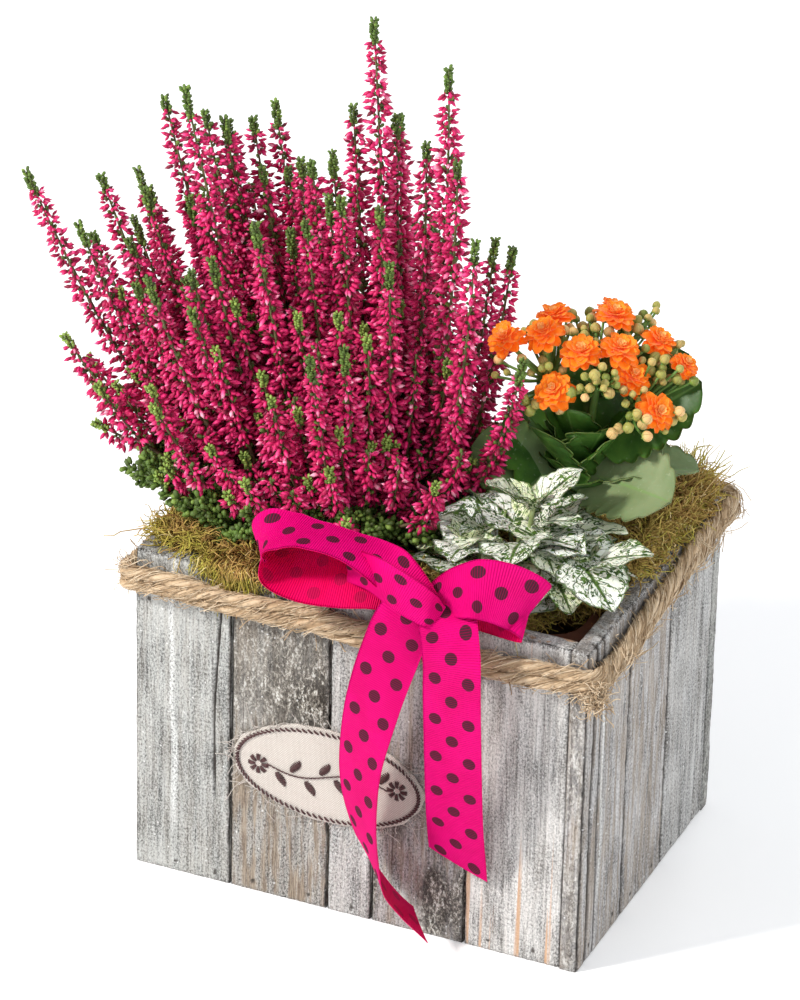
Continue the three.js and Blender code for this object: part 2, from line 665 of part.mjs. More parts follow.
// A spike: rows of two buds each, every row turned against the one below it.
function spikeGeometry(spray, spike) {
  const rings = [];
  const from = Math.max(0.06, spike.reach - HEATHER.flowering);
  const at = (s) => spikePoint(spray, spike, s);
  const push = (s, radii) => {
    const tangent = at(s + 0.01).sub(at(s - 0.01)).normalize();
    rings.push(sectionAt(at(s), tangent, radii, 0));
  };
  push(0.03, Array(4).fill(HEATHER.stem));
  const rows = Math.max(3, Math.round(at(from).distanceTo(at(spike.reach)) / HEATHER.row));
  for (let i = 0; i <= rows; i += 1) {
    const share = i / rows;
    const s = THREE.MathUtils.lerp(from, spike.reach, share);
    const radius = spikeRadius(share, s);
    push(s, Array.from({ length: 4 }, (_, j) => radius * ((i + j) % 2 ? 0.5 : 1)));
  }
  push(spike.reach + 0.02, Array(4).fill(0.6));
  return skin(rings);
}

function heartGeometry({ cu, cv, full }) {
  const top = 0.62 * full;
  return skin(HEART.map((girth, i) => {
    const s = THREE.MathUtils.lerp(0.02, top, i / (HEART.length - 1));
    const centre = heatherPoint(cu, cv, s);
    const tangent = heatherPoint(cu, cv, s + 0.01).sub(centre).normalize();
    const radii = Array.from({ length: 6 }, (_, j) => girth * crownWidth(s) * ((i + j) % 2 ? 0.7 : 1));
    return sectionAt(centre, tangent, radii, 0);
  }));
}

function addHeather() {
  heatherSprays().forEach((spray, k) => {
    const start = heatherPoint(spray.cu, spray.cv, 0);
    const foot = vec(start.x, start.y, soilSurface(start.x, start.y) - SOIL.root_depth);
    const radius = 1.5 * HEATHER.stem;
    const stem = skin([foot, start, heatherPoint(spray.cu, spray.cv, 0.06)].map((centre) => (
      sectionAt(centre, vec(0, 0, 1), Array(4).fill(radius), 0)
    )));
    plant(start.x, start.y, radius);
    const spikes = spray.spikes.map((spike) => spikeGeometry(spray, spike));
    const name = `heather_spray_${String(k + 1).padStart(2, '0')}`;
    add(name, fuse([stem, heartGeometry(spray), ...spikes]), COLOURS.heather, 0.75);
  });
}

// ---------------------------------------------------------------- kalanchoe

// A fleshy leaf with a short stalk and a scalloped edge.
function kalanchoeLeaf(length, width) {
  const { rows, cup, sag, sheet, stalk: stalkHalf, scallop } = KALANCHOE_LEAF;
  const halfWidth = (t, i) => {
    const bladeShare = THREE.MathUtils.clamp((t - 0.2) / 0.8, 0, 1);
    const belly = Math.sin(Math.PI * Math.min(0.93, 0.08 + 0.85 * bladeShare)) ** 0.6;
    return t < 0.19 ? stalkHalf : (width / 2) * belly * scallop[i % 2];
  };
  return blade({ rows, length, halfWidth, cup, sag: length * sag, sheet });
}

// A closed bud on its stalk, which starts at the hub and ends in a small spindle.
function budGeometry(hub, facing, length, size) {
  const profile = [[0, 0.8], [length - size, 0.8], [length, size], [length + 1.3 * size, 0.5]];
  return skin(profile.map(([along, radius]) => (
    sectionAt(hub.clone().addScaledVector(facing, along), facing, Array(4).fill(radius), 0)
  )));
}

// A double bloom: one closed surface that folds out into three layers of petals and back.
function bloomGeometry(radius) {
  const rings = BLOOM_FOLDS.map(([height, reach, wave]) => (
    Array.from({ length: 2 * PETALS.count }, (_, j) => {
      const angle = (j * Math.PI) / PETALS.count;
      const notch = (j % 2 ? 1 : -1) * wave;
      const scale = wave === 0 ? 1 : 1 + PETALS.notch * notch - PETALS.tuck;
      const out = radius * reach * scale;
      return vec(out * Math.cos(angle), out * Math.sin(angle), height + PETALS.wave * notch);
    })
  ));
  return skin(rings);
}

function facingFrom(centre) {
  return centre.clone().sub(vec(...KALANCHOE.heart)).normalize().add(vec(0.12, -0.3, 0.55)).normalize();
}

function hubNear(centre) {
  const hubs = KALANCHOE_HUBS.map((hub) => vec(...hub));
  return hubs.reduce((a, b) => (a.distanceTo(centre) < b.distanceTo(centre) ? a : b));
}

function addKalanchoe() {
  const [x, y] = KALANCHOE.foot;
  const crown = vec(x + 1, y, KALANCHOE.top);
  const foot = vec(x, y, soilSurface(x, y) - SOIL.root_depth);
  const pieces = [skin([[foot, 1], [vec(x, y, 150), 1], [crown, 0.8]].map(([centre, k]) => (
    sectionAt(centre, vec(0, 0, 1), Array(4).fill(k * KALANCHOE.stem), 0)
  )))];
  plant(x, y, KALANCHOE.stem);
  for (const [compass, height, length, width, rise, roll] of KALANCHOE_LEAVES) {
    pieces.push(placed(kalanchoeLeaf(length, width), vec(x, y, height), compass, rise, roll));
  }
  for (const hub of KALANCHOE_HUBS.map((place) => vec(...place))) {
    const bend = crown.clone().lerp(hub, 0.5).add(vec(0, 0, 3));
    pieces.push(stalk([vec(x, y, KALANCHOE.top - 8), bend, hub], 2.2, 1.4));
  }
  BLOOMS.forEach(([bx, by, bz, radius], n) => {
    const centre = vec(bx, by, bz);
    const facing = facingFrom(centre);
    const seat = centre.clone().addScaledVector(facing, -2.6 - 1.6 * GAP);
    const hub = hubNear(centre);
    const bend = hub.clone().lerp(seat, 0.6).addScaledVector(facing, -1.5);
    pieces.push(stalk([hub, bend, seat], 1.1, KALANCHOE.pedicel));
    const spin = radians(137.5 * n + 40 * draw(n, 1));
    const side = vec(Math.cos(spin), Math.sin(spin), 0.35 - 0.8 * draw(n, 2)).normalize();
    pieces.push(budGeometry(hub, side, 11 + 5 * draw(n, 5), 2.2 + 0.5 * draw(n, 7)));
    const bloom = bloomGeometry(radius);
    const turn = new THREE.Quaternion().setFromUnitVectors(vec(0, 0, 1), facing);
    bloom.applyQuaternion(turn);
    bloom.translate(bx, by, bz);
    add(`kalanchoe_bloom_${String(n + 1).padStart(2, '0')}`, bloom, COLOURS.bloom, 0.6);
  });
  add('kalanchoe_plant', fuse(pieces), COLOURS.kalanchoe, 0.5);
}

// ---------------------------------------------------------------- hypoestes

function hypoestesLeaf(length) {
  const { rows, cup, sag, sheet, stalk: stalkHalf, half, wave } = HYPOESTES_LEAF;
  const halfWidth = (t, i) => {
    const bladeShare = THREE.MathUtils.clamp((t - 0.18) / 0.82, 0, 1);
    const belly = Math.sin(Math.PI * Math.min(0.96, 0.08 + 0.9 * bladeShare ** 0.85)) ** 0.85;
    return t < 0.17 ? stalkHalf : half * length * belly * wave[i % 2];
  };
  return blade({ rows, length, halfWidth, cup, sag: length * sag, sheet });
}

function addHypoestes() {
  const [x, y] = HYPOESTES.foot;
  const ground = soilSurface(x, y);
  const foot = vec(x, y, ground - SOIL.root_depth);
  const collar = vec(x, y, ground + 4);
  const radius = 1.6 * HYPOESTES.stem;
  const pieces = [skin([foot, collar].map((centre) => (
    sectionAt(centre, vec(0, 0, 1), Array(4).fill(radius), 0)
  )))];
  plant(x, y, radius);
  HYPOESTES_STEMS.forEach(([tx, ty, tz, longest], k) => {
    const tip = vec(tx, ty, tz);
    const start = vec(x, y, ground + 1);
    const bend = start.clone().lerp(tip, 0.45).add(vec(0, 0, 4));
    pieces.push(stalk([start, bend, tip], HYPOESTES.stem, 0.8 * HYPOESTES.stem));
    const shares = k === 1 ? [0.4, 0.7, 1] : [0.55, 1];
    shares.forEach((share, n) => {
      const at = new THREE.CatmullRomCurve3([start, bend, tip]).getPoint(share * 0.97);
      for (const side of [0, 180]) {
        const compass = side + 90 * n + 38 * k + 30 * draw(k, n + 3);
        const rise = 14 + 14 * n + 12 * draw(k + 3, n + side);
        const length = longest * (1 - 0.13 * n);
        pieces.push(placed(hypoestesLeaf(length), at, compass, rise));
      }
    });
  });
  add('hypoestes_plant', fuse(pieces), COLOURS.hypoestes, 0.6);
}

addBox();
addLiner();
addHeather();
addKalanchoe();
addHypoestes();
addSoil();
addAllMoss();
addRope();
addRibbon();
addPatch();

export default part;
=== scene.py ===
import math

import bpy
import numpy as np
from mathutils import Matrix, Vector


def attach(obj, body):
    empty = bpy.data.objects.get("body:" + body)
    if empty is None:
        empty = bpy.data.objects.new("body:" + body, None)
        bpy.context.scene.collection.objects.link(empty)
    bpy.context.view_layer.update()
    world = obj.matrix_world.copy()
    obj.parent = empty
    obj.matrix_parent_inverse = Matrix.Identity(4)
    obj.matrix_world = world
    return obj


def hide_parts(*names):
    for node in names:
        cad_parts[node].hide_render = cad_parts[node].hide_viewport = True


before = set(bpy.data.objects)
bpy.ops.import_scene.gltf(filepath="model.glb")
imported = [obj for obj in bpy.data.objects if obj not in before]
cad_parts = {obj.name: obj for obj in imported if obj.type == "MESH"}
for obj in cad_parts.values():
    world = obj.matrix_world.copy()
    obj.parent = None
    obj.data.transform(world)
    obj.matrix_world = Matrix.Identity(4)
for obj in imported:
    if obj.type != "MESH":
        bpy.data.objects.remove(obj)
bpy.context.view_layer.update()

# Looks of the planted window box. +X is right along the front wall, +Y the back and +Z up, in
# the row frame. Shapes are in millimetres, which build() turns into metres, and so are the point
# values grain, cloth, along and across. Lights, floor, bumps and where() are in metres.
MM = 0.001
TAU = 2 * math.pi
GOLDEN_ANGLE = 2.39996
HALF_W, HALF_D, BOARD, SEAM = 100.0, 74.0, 8.0, 0.5
INSIDE_W, INSIDE_D = HALF_W - BOARD, HALF_D - BOARD
HEATHER_FOOT, KALANCHOE_FOOT, HYPOESTES_FOOT = (-46, 2), (60, 12), (52, -32)


# ---------------------------------------------------------------- numbers and points

def draw(i, k):
    """A number from 0 to 1 that is always the same for the same pair of indices."""
    wave = math.sin(i * 12.9898 + k * 78.233) * 43758.5453
    return wave - math.floor(wave)


def scattered(rng, count, *ranges):
    """Random points or directions, evenly spread between a low and a high value on each axis."""
    return np.column_stack([rng.uniform(low, high, count) for low, high in ranges])


def smooth(x):
    t = np.clip(x, 0, 1)
    return t * t * (3 - 2 * t)


def unit(v):
    return v / np.maximum(np.linalg.norm(v, axis=-1, keepdims=True), 1e-9)


def mix(a, b, t):
    return a + (b - a) * t


def flat_points(x, y, z=0):
    """Points (N, 3) from grids or rows of x and y."""
    return np.column_stack([np.ravel(x), np.ravel(y), 0 * np.ravel(x) + z])


def value_noise(points, size, seed=0):
    """Smooth noise from 0 to 1 at points (N, 3), with features of the given size."""
    q = np.asarray(points, float) / np.asarray(size, float) + seed * 17.31
    base = np.floor(q)
    f = q - base
    f = f * f * (3 - 2 * f)
    total = 0
    for corner in np.ndindex(2, 2, 2):
        wx, wy, wz = np.where(corner, f, 1 - f).T
        x, y, z = (base + corner).T
        wave = np.sin(x * 12.9898 + y * 78.233 + z * 37.719) * 43758.5453
        total = total + wx * wy * wz * (wave - np.floor(wave))
    return total


def catmull(points, t):
    """Points on the centripetal Catmull-Rom curve through points, at t from 0 to 1."""
    p = np.asarray(points, float)
    p = np.vstack([2 * p[0] - p[1], p, 2 * p[-1] - p[-2]])
    n = len(p) - 3
    s = np.clip(np.asarray(t, float), 0, 1) * n
    k = np.minimum(np.floor(s).astype(int), n - 1)
    w = (s - k)[:, None]
    a, b, c, d = p[k], p[k + 1], p[k + 2], p[k + 3]
    before, here, after = (np.linalg.norm(y - x, axis=1, keepdims=True) ** 0.5
                           for x, y in ((a, b), (b, c), (c, d)))
    here = np.where(here < 1e-4, 1, here)
    before, after = (np.where(gap < 1e-4, here, gap) for gap in (before, after))
    t1 = ((b - a) / before - (c - a) / (before + here) + (c - b) / here) * here
    t2 = ((c - b) / here - (d - b) / (here + after) + (d - c) / after) * here
    return b + t1 * w + (-3 * b + 3 * c - 2 * t1 - t2) * w**2 + (2 * b - 2 * c + t1 + t2) * w**3


def run_along(path):
    """The length run from the start of a path to each of its points."""
    return np.concatenate([[0], np.cumsum(np.linalg.norm(np.diff(path, axis=0), axis=1))])


# ---------------------------------------------------------------- meshes

class Heap:
    """Collects points and faces of one piece, with values for each point."""

    def __init__(self):
        self.points, self.faces, self.values, self.count = [], [], {}, 0

    def add(self, points, faces, **values):
        points = np.asarray(points, float).reshape(-1, 3)
        self.points.append(points)
        self.faces += [np.asarray(f, int) + self.count for f in faces if len(f)]
        for key, value in values.items():
            value = np.asarray(value, float)
            if value.ndim == 0:
                value = np.full(len(points), float(value))
            self.values.setdefault(key, []).append(value)
        self.count += len(points)

    def add_strands(self, paths, girth, tint, sides=3):
        """Thin tubes, each with a tint of its own."""
        self.add(*tubes(paths, girth, sides), tint=np.repeat(tint, paths.shape[1] * sides))

    def add_part(self, points, faces, kind, tint, places=(0.5, 0.5, 0)):
        """A part of a leafy plant: its kind, its tint and the places on its leaf."""
        self.add(points, faces, kind=kind, tint=tint,
                 leaf=np.zeros((len(points), 3)) + np.asarray(places))

    def build(self, name, material, slot, replaced=(), smooth_shade=True):
        values = {key: np.concatenate(value) for key, value in self.values.items()}
        return build(name, np.concatenate(self.points), self.faces, material, slot, replaced,
                     smooth_shade, **values)


def shown(name, data):
    thing = bpy.data.objects.new(name, data)
    bpy.context.scene.collection.objects.link(thing)
    return thing


def build(name, points, faces, material, slot, replaced=(), smooth_shade=True, **values):
    """One piece from points in millimetres and faces, with its values as point attributes."""
    mesh = bpy.data.meshes.new(name)
    mesh.vertices.add(len(points))
    mesh.vertices.foreach_set("co", (np.asarray(points) * MM).astype(np.float32).ravel())
    flat = np.concatenate([np.asarray(f, int).ravel() for f in faces]).astype(np.int32)
    sizes = np.concatenate([np.full(len(f), np.asarray(f).shape[1]) for f in faces])
    mesh.loops.add(len(flat))
    mesh.loops.foreach_set("vertex_index", flat)
    mesh.polygons.add(len(sizes))
    starts = np.concatenate([[0], np.cumsum(sizes)[:-1]]).astype(np.int32)
    mesh.polygons.foreach_set("loop_start", starts)
    mesh.polygons.foreach_set("use_smooth", np.full(len(sizes), smooth_shade))
    for key, value in values.items():
        kind, field = ("FLOAT", "value") if value.ndim == 1 else ("FLOAT_VECTOR", "vector")
        layer = mesh.attributes.new(key, kind, "POINT")
        layer.data.foreach_set(field, value.astype(np.float32).ravel())
    mesh.update(calc_edges=True)
    mesh.validate()
    mesh.materials.append(material)
    piece = shown(name, mesh)
    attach(piece, "root")
    if replaced:
        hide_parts(*replaced)
    return piece


def tubes(paths, radii, sides=4):
    """Closed tubes along paths (P, S, 3) with radii (P, S) or (S,). Returns points and faces."""
    paths = np.asarray(paths, float)
    count, steps, _ = paths.shape
    radii = np.broadcast_to(np.asarray(radii, float), (count, steps))
    tangent = unit(np.gradient(paths, axis=1))
    reference = np.where(np.abs(tangent[:, :1, 2:3]) > 0.8, [1.0, 0.1, 0.0], [0.08, 0.05, 1.0])
    side = unit(np.cross(tangent, np.broadcast_to(reference, tangent.shape)))
    other = np.cross(side, tangent)
    angle = np.arange(sides) * TAU / sides
    ring = (side[:, :, None] * np.cos(angle)[:, None] + other[:, :, None] * np.sin(angle)[:, None])
    points = paths[:, :, None] + ring * radii[:, :, None, None]
    base = (np.arange(count) * steps * sides)[:, None, None]
    i = np.arange(steps - 1)[None, :, None] * sides
    j = np.arange(sides)[None, None, :]
    k = (j + 1) % sides
    quads = np.stack(np.broadcast_arrays(base + i + sides + j, base + i + sides + k, base + i + k,
                                         base + i + j), -1).reshape(-1, 4)
    start = base[:, 0] + np.arange(sides)
    end = base[:, 0] + steps * sides - 1 - np.arange(sides)
    return points.reshape(-1, 3), [quads, start, end]


def stalk(points, start, end, sides=8, steps=14):
    """A tube of tapering radius along the curve through points."""
    path = catmull(points, np.linspace(0, 1, steps))
    return tubes(path[None], np.linspace(start, end, steps)[None], sides)


def scatter(template, faces, at, frames):
    """Copies of a small closed shape: frames (N, 3, 3) hold the images of its x, y and z axes."""
    points = at[:, None, :] + np.einsum("vk,nkj->nvj", template, frames)
    shift = (np.arange(len(at)) * len(template))[:, None, None]
    return points.reshape(-1, 3), [(np.asarray(f)[None] + shift).reshape(-1, len(f[0]))
                                   for f in faces]


def lathe(profile, sides):
    """A closed spindle about +Z from (radius, height) pairs, whose first and last are its tips."""
    turns = [j * TAU / sides for j in range(sides)]
    points = [(r * math.cos(a), r * math.sin(a), h) for r, h in profile[1:-1] for a in turns]
    points = [(0, 0, profile[0][1]), *points, (0, 0, profile[-1][1])]
    last, top = len(points) - 1, len(points) - 1 - sides
    pairs = [(j, (j + 1) % sides) for j in range(sides)]
    tris = [(0, 1 + k, 1 + j) for j, k in pairs] + [(last, top + j, top + k) for j, k in pairs]
    quads = [(row + j, row + k, row + sides + k, row + sides + j)
             for row in range(1, top, sides) for j, k in pairs]
    return np.array(points, float), [f for f in (tris, quads) if f]


def closed_sheet(upper, lower):
    """Points and faces of a thin closed body between two grids of points of the same size."""
    index = np.arange(upper[..., 0].size).reshape(upper.shape[:2])
    quads = np.stack([index[:-1, :-1], index[1:, :-1], index[1:, 1:], index[:-1, 1:]], -1)
    quads = quads.reshape(-1, 4)
    rim = np.concatenate([index[0], index[1:, -1], index[-1, -2::-1], index[-2:0:-1, 0]])
    ahead = np.roll(rim, -1)
    walls = np.stack([rim + index.size, ahead + index.size, ahead, rim], 1)
    return (np.concatenate([upper.reshape(-1, 3), lower.reshape(-1, 3)]),
            [quads, quads[:, ::-1] + index.size, walls])


def ring_quads(rows, sides):
    """Quads between each ring of points and the next, as (rows - 1, sides, 4)."""
    index = np.arange(rows * sides).reshape(rows, sides)
    ahead = np.roll(index, -1, axis=1)
    return np.stack([index[:-1], index[1:], ahead[1:], ahead[:-1]], -1)


def frames_along(direction, size, spin=None):
    """Frames with +Z along direction, scaled by size (N,) or (N, 3)."""
    z = unit(direction)
    reference = np.where(np.abs(z[:, 2:3]) > 0.9, [1.0, 0.0, 0.0], [0.0, 0.0, 1.0])
    x = unit(np.cross(reference, z))
    y = np.cross(z, x)
    if spin is not None:
        c, s = np.cos(spin)[:, None], np.sin(spin)[:, None]
        x, y = x * c + y * s, y * c - x * s
    size = np.asarray(size, float)
    if size.ndim == 1:
        size = np.repeat(size[:, None], 3, 1)
    return np.stack([x, y, z], 1) * size[:, :, None]


def leaf(length, half_width, cup, sag, sheet, rows, columns, curl=0.0, ripple=0.0, phase=0.0):
    """A blade along +X with closed faces, and the places (length share, side share) on it."""
    t = np.linspace(0, 1, rows)[:, None]
    c = np.linspace(-1, 1, columns)[None]
    half = half_width(t)
    z = -sag * t * t + cup * half * np.abs(c) ** 1.4
    z = z + ripple * np.sin(t * 15 + phase + 1.5 * np.sign(c)) * np.abs(c) ** 2
    midrib = 0.35 * np.exp(-(c / 0.12) ** 2) * np.sin(np.pi * np.clip(t, 0, 1))
    z = z + curl * half * np.abs(c) ** 4 - midrib
    body = sheet * (1 - 0.55 * np.abs(c) ** 4) * (1 - 0.5 * t**4)
    upper, lower = (np.stack([length * t + 0 * c, half * c, level], -1) for level in (z, z - body))
    places = np.stack(np.broadcast_arrays(t, c, 0 * t * c), -1).reshape(-1, 3)
    return *closed_sheet(upper, lower), np.vstack([places, places + (0, 0, 1)])


def placed(points, at, compass, rise, roll=0.0):
    """Points turned by roll about +X, then raised, then turned to the compass, and moved to at."""
    turn = Matrix.Rotation(math.radians(compass), 3, "Z")
    turn = turn @ Matrix.Rotation(math.radians(-rise), 3, "Y")
    turn = turn @ Matrix.Rotation(math.radians(roll), 3, "X")
    return points @ np.array(turn).T + np.asarray(at, float)


# ---------------------------------------------------------------- shaders

class Signal:
    """An output socket. Arithmetic on it adds the maths nodes to its shader."""

    def __init__(self, shader, socket):
        self.shader, self.socket = shader, socket

    def math(self, operation, other=0.0):
        return self.shader.math(operation, self, other)

    def __add__(self, other):
        return self.math("ADD", other)

    def __sub__(self, other):
        return self.math("SUBTRACT", other)

    def __rsub__(self, other):
        return self.shader.math("SUBTRACT", other, self)

    def __mul__(self, other):
        return self.math("MULTIPLY", other)

    def __truediv__(self, other):
        return self.math("DIVIDE", other)

    def __abs__(self):
        return self.math("ABSOLUTE")

    def sine(self):
        return self.math("SINE")

    def most(self, other):
        return self.math("MAXIMUM", other)

    def between(self, low, high, to_low=0.0, to_high=1.0):
        """Goes smoothly from one value to another while the signal goes from low to high."""
        ends = {"From Min": low, "From Max": high, "To Min": to_low, "To Max": to_high}
        return self.shader.add("MapRange", 0, {"Value": self, **ends},
                               interpolation_type="SMOOTHSTEP")

    def blend(self, a, b, mode="MIX"):
        return self.shader.mix(self, a, b, mode)

    def ramp(self, *stops):
        """Colours at places from 0 to 1 along the signal."""
        colour = self.shader.add("ValToRGB", "Color", {"Fac": self})
        elements = colour.socket.node.color_ramp.elements
        while len(elements) < len(stops):
            elements.new(0.5)
        for element, (place, shade) in zip(elements, stops):
            element.position = place
            element.color = (*shade, 1)
        return colour


class Shader:
    """A node material, with short calls for the nodes it uses."""

    def __init__(self, name, **inputs):
        self.material = bpy.data.materials.new(name)
        self.material.use_nodes = True
        self.tree = self.material.node_tree
        self.bsdf = self.tree.nodes["Principled BSDF"]
        self.set(**inputs)

    def plug(self, socket, value):
        if isinstance(value, Signal):
            self.tree.links.new(value.socket, socket)
        elif socket.type == "RGBA":
            socket.default_value = (*value, 1)
        else:
            socket.default_value = value

    def set(self, **inputs):
        for key, value in inputs.items():
            self.plug(self.bsdf.inputs[key.replace("_", " ")], value)

    def add(self, kind, output, inputs, **settings):
        """Adds a node, with its inputs by name or number, and returns one of its outputs."""
        node = self.tree.nodes.new("ShaderNode" + kind)
        for key, value in settings.items():
            setattr(node, key, value)
        for key, value in inputs.items():
            self.plug(node.inputs[key], value)
        return Signal(self, node.outputs[output])

    def where(self):
        return self.add("TexCoord", "Object", {})

    def value(self, name):
        return self.add("Attribute", "Fac", {}, attribute_name=name)

    def vector(self, name):
        return self.add("Attribute", "Vector", {}, attribute_name=name)

    def parts(self, vector):
        node = self.add("SeparateXYZ", 0, {0: vector}).socket.node
        return [Signal(self, output) for output in node.outputs]

    def noise(self, at, scale, detail=3.0, rough=0.55, distortion=0.0):
        return self.add("TexNoise", "Fac", {"Vector": at, "Scale": scale, "Detail": detail,
                                            "Roughness": rough, "Distortion": distortion})

    def scaled(self, vector, factors):
        return self.add("VectorMath", 0, {0: vector, 1: factors}, operation="MULTIPLY")

    def stretched(self, vector, factors, *settings):
        """Noise of scale 1 on a vector that is stretched by factors."""
        return self.noise(self.scaled(vector, factors), 1.0, *settings)

    def math(self, operation, a, b=0.0):
        return self.add("Math", 0, {0: a, 1: b}, operation=operation)

    def mix(self, factor, a, b, mode="MIX"):
        return self.add("Mix", 2, {0: factor, 6: a, 7: b}, data_type="RGBA", blend_type=mode)

    def let_light_through(self, colour, share):
        """Lets part of the light come out softly on the other side, as thin petals and cloth do."""
        soft = self.add("BsdfTranslucent", 0, {"Color": colour})
        both = self.add("MixShader", 0, {1: Signal(self, self.bsdf.outputs[0]), 2: soft})
        both.socket.node.inputs[0].default_value = share
        self.plug(self.tree.nodes["Material Output"].inputs["Surface"], both)

    def bump(self, height, distance, strength=1.0):
        normal = self.add("Bump", 0, {"Height": height, "Distance": distance,
                                      "Strength": strength})
        self.set(Normal=normal)
        return self.material


# ---------------------------------------------------------------- camera, light and floor

# The camera was fitted to six corners of the box: degrees, then millimetres, then metres.
AZIMUTH, ELEVATION, ROLL = (math.radians(angle) for angle in (22.965, 28.739, 1.381))
TARGET, DISTANCE = (-14.859, 0, 156.052), 2.46846
LENS, SENSOR, CLIP = 216.0, 36.0, (0.1, 50)
LIGHTS = {  # place, target, size, power, colour
    "key": ((-1.15, -1.25, 1.55), (0, 0, 0.14), 0.24, 49, (1, 0.975, 0.94)),
    "fill": ((1.4, -1.0, 0.9), (0, 0, 0.12), 1.4, 12, (0.95, 0.97, 1)),
    "rim": ((0.2, 1.6, 1.3), (0, 0, 0.2), 1.2, 13, (1, 1, 1)),
}
SKY, SKY_STRENGTH = (0.93, 0.96, 1, 1), 0.62
FLOOR_HALF, FLOOR_GLOW = 6.0, 0.16


def add_camera():
    back = Vector((math.sin(AZIMUTH) * math.cos(ELEVATION),
                   -math.cos(AZIMUTH) * math.cos(ELEVATION), math.sin(ELEVATION)))
    right = back.cross(Vector((0, 0, -1))).normalized()
    up = back.cross(right)
    across = right * math.cos(ROLL) + up * math.sin(ROLL)
    upward = up * math.cos(ROLL) - right * math.sin(ROLL)
    data = bpy.data.cameras.new("camera")
    data.lens, data.sensor_width, data.sensor_fit = LENS, SENSOR, "AUTO"
    data.clip_start, data.clip_end = CLIP
    camera = shown("camera", data)
    axes = Matrix((across, upward, back)).transposed().to_4x4()
    camera.matrix_world = Matrix.Translation(Vector(TARGET) * MM + back * DISTANCE) @ axes
    bpy.context.scene.camera = camera


def add_studio():
    world = bpy.data.worlds.new("studio")
    bpy.context.scene.world = world
    world.use_nodes = True
    sky = world.node_tree.nodes["Background"].inputs
    sky["Color"].default_value, sky["Strength"].default_value = SKY, SKY_STRENGTH
    for name, (place, target, size, power, colour) in LIGHTS.items():
        data = bpy.data.lights.new(name, "AREA")
        data.size, data.energy, data.color = size, power, colour
        lamp = shown(name, data)
        lamp.location = place
        toward = Vector(target) - Vector(place)
        lamp.rotation_euler = toward.to_track_quat("-Z", "Y").to_euler()
    mesh = bpy.data.meshes.new("floor")
    corners = [(x * FLOOR_HALF, y * FLOOR_HALF, 0) for x, y in ((-1, -1), (1, -1), (1, 1), (-1, 1))]
    mesh.from_pydata(corners, [], [(0, 1, 2, 3)])
    s = Shader("floor", Roughness=0.9, Specular_IOR_Level=0.1)
    pale = s.noise(s.where(), 3.0).ramp((0, (0.90, 0.90, 0.90)), (1, (0.94, 0.94, 0.94)))
    s.set(Base_Color=pale, Emission_Color=pale, Emission_Strength=FLOOR_GLOW)
    mesh.materials.append(s.material)
    shown("floor", mesh)
    bpy.context.scene.view_settings.view_transform = "Standard"


# ---------------------------------------------------------------- boards

FRONT_SEAMS = [-HALF_W, -56.5, -12.5, 7.5, 49, INSIDE_W]
SIDE_SEAMS = [-HALF_D, -27, 18, INSIDE_D]
FRONT_TOPS = [150, 149.3, 150, 149.6, 150]
SIDE_TOPS = [150, 149.4, 149.8]
GRID_ACROSS, GRID_DEEP, GRID_UP = 0.62, 8, 1.25
BOARD_LOOKS = {  # slot; lightness, speckling, browning, rust, hue
    "white": ("white_board", 0.50, 0.55, 0.15, 0.0, (0.985, 0.995, 0.955)),
    "mottled": ("mottled_board", 0.44, 0.8, 0.85, 0.0, (1.0, 0.965, 0.90)),
    "plain": ("white_board", 0.58, 0.6, 0.15, 0.0, (1.0, 0.99, 0.965)),
    # The dark look is partly the grey-brown of the wood and partly painted shade: the fourth front
    # board lies in the ribbon's shadow between the tails.
    "dark": ("dark_board", 0.46, 0.7, 0.6, 0.05, (1.0, 0.96, 0.95)),
    "warm": ("warm_board", 0.66, 0.3, 0.12, 0.85, (1.0, 0.98, 0.95)),
    "streaked": ("white_board", 0.56, 0.5, 0.6, 0.0, (1.0, 0.975, 0.96)),
}
FRONT_LOOKS = [("white", 0.35), ("mottled", 0.95), ("plain", 0.3), ("dark", 0.5), ("warm", 0.10)]
SIDE_LOOKS = [("streaked", 0.3), ("streaked", 0.35), ("plain", 0.3)]
CRACKS = {  # (wall, board): place across, lowest point, width, lean
    ("front", 0): [(14.2, 30, 0.62, 2.8)],
    ("front", 3): [(9, 60, 0.5, 2.0)],
    ("right", 0): [(-15.8, -30, 1.7, 0.8), (-7.5, -30, 1.2, -0.6)],
    ("right", 2): [(13, -30, 0.5, 0.3)],
    ("left", 1): [(-9, 20, 0.7, 1.5)],
    ("back", 2): [(4, 10, 0.6, -1.2)],
}
FRONT_NAILS = [(-93.5, 128), (-81, 5), (-63, 4.3), (-46, 4.6), (-20.6, 4.7), (-1, 4.2), (30, 6),
               (60, 5), (80, 5.5)]
CHALK_AT = -4.3  # a chalky streak down the first board of each wall
PATCHED_BOARD = 4  # the front board with crusted spots


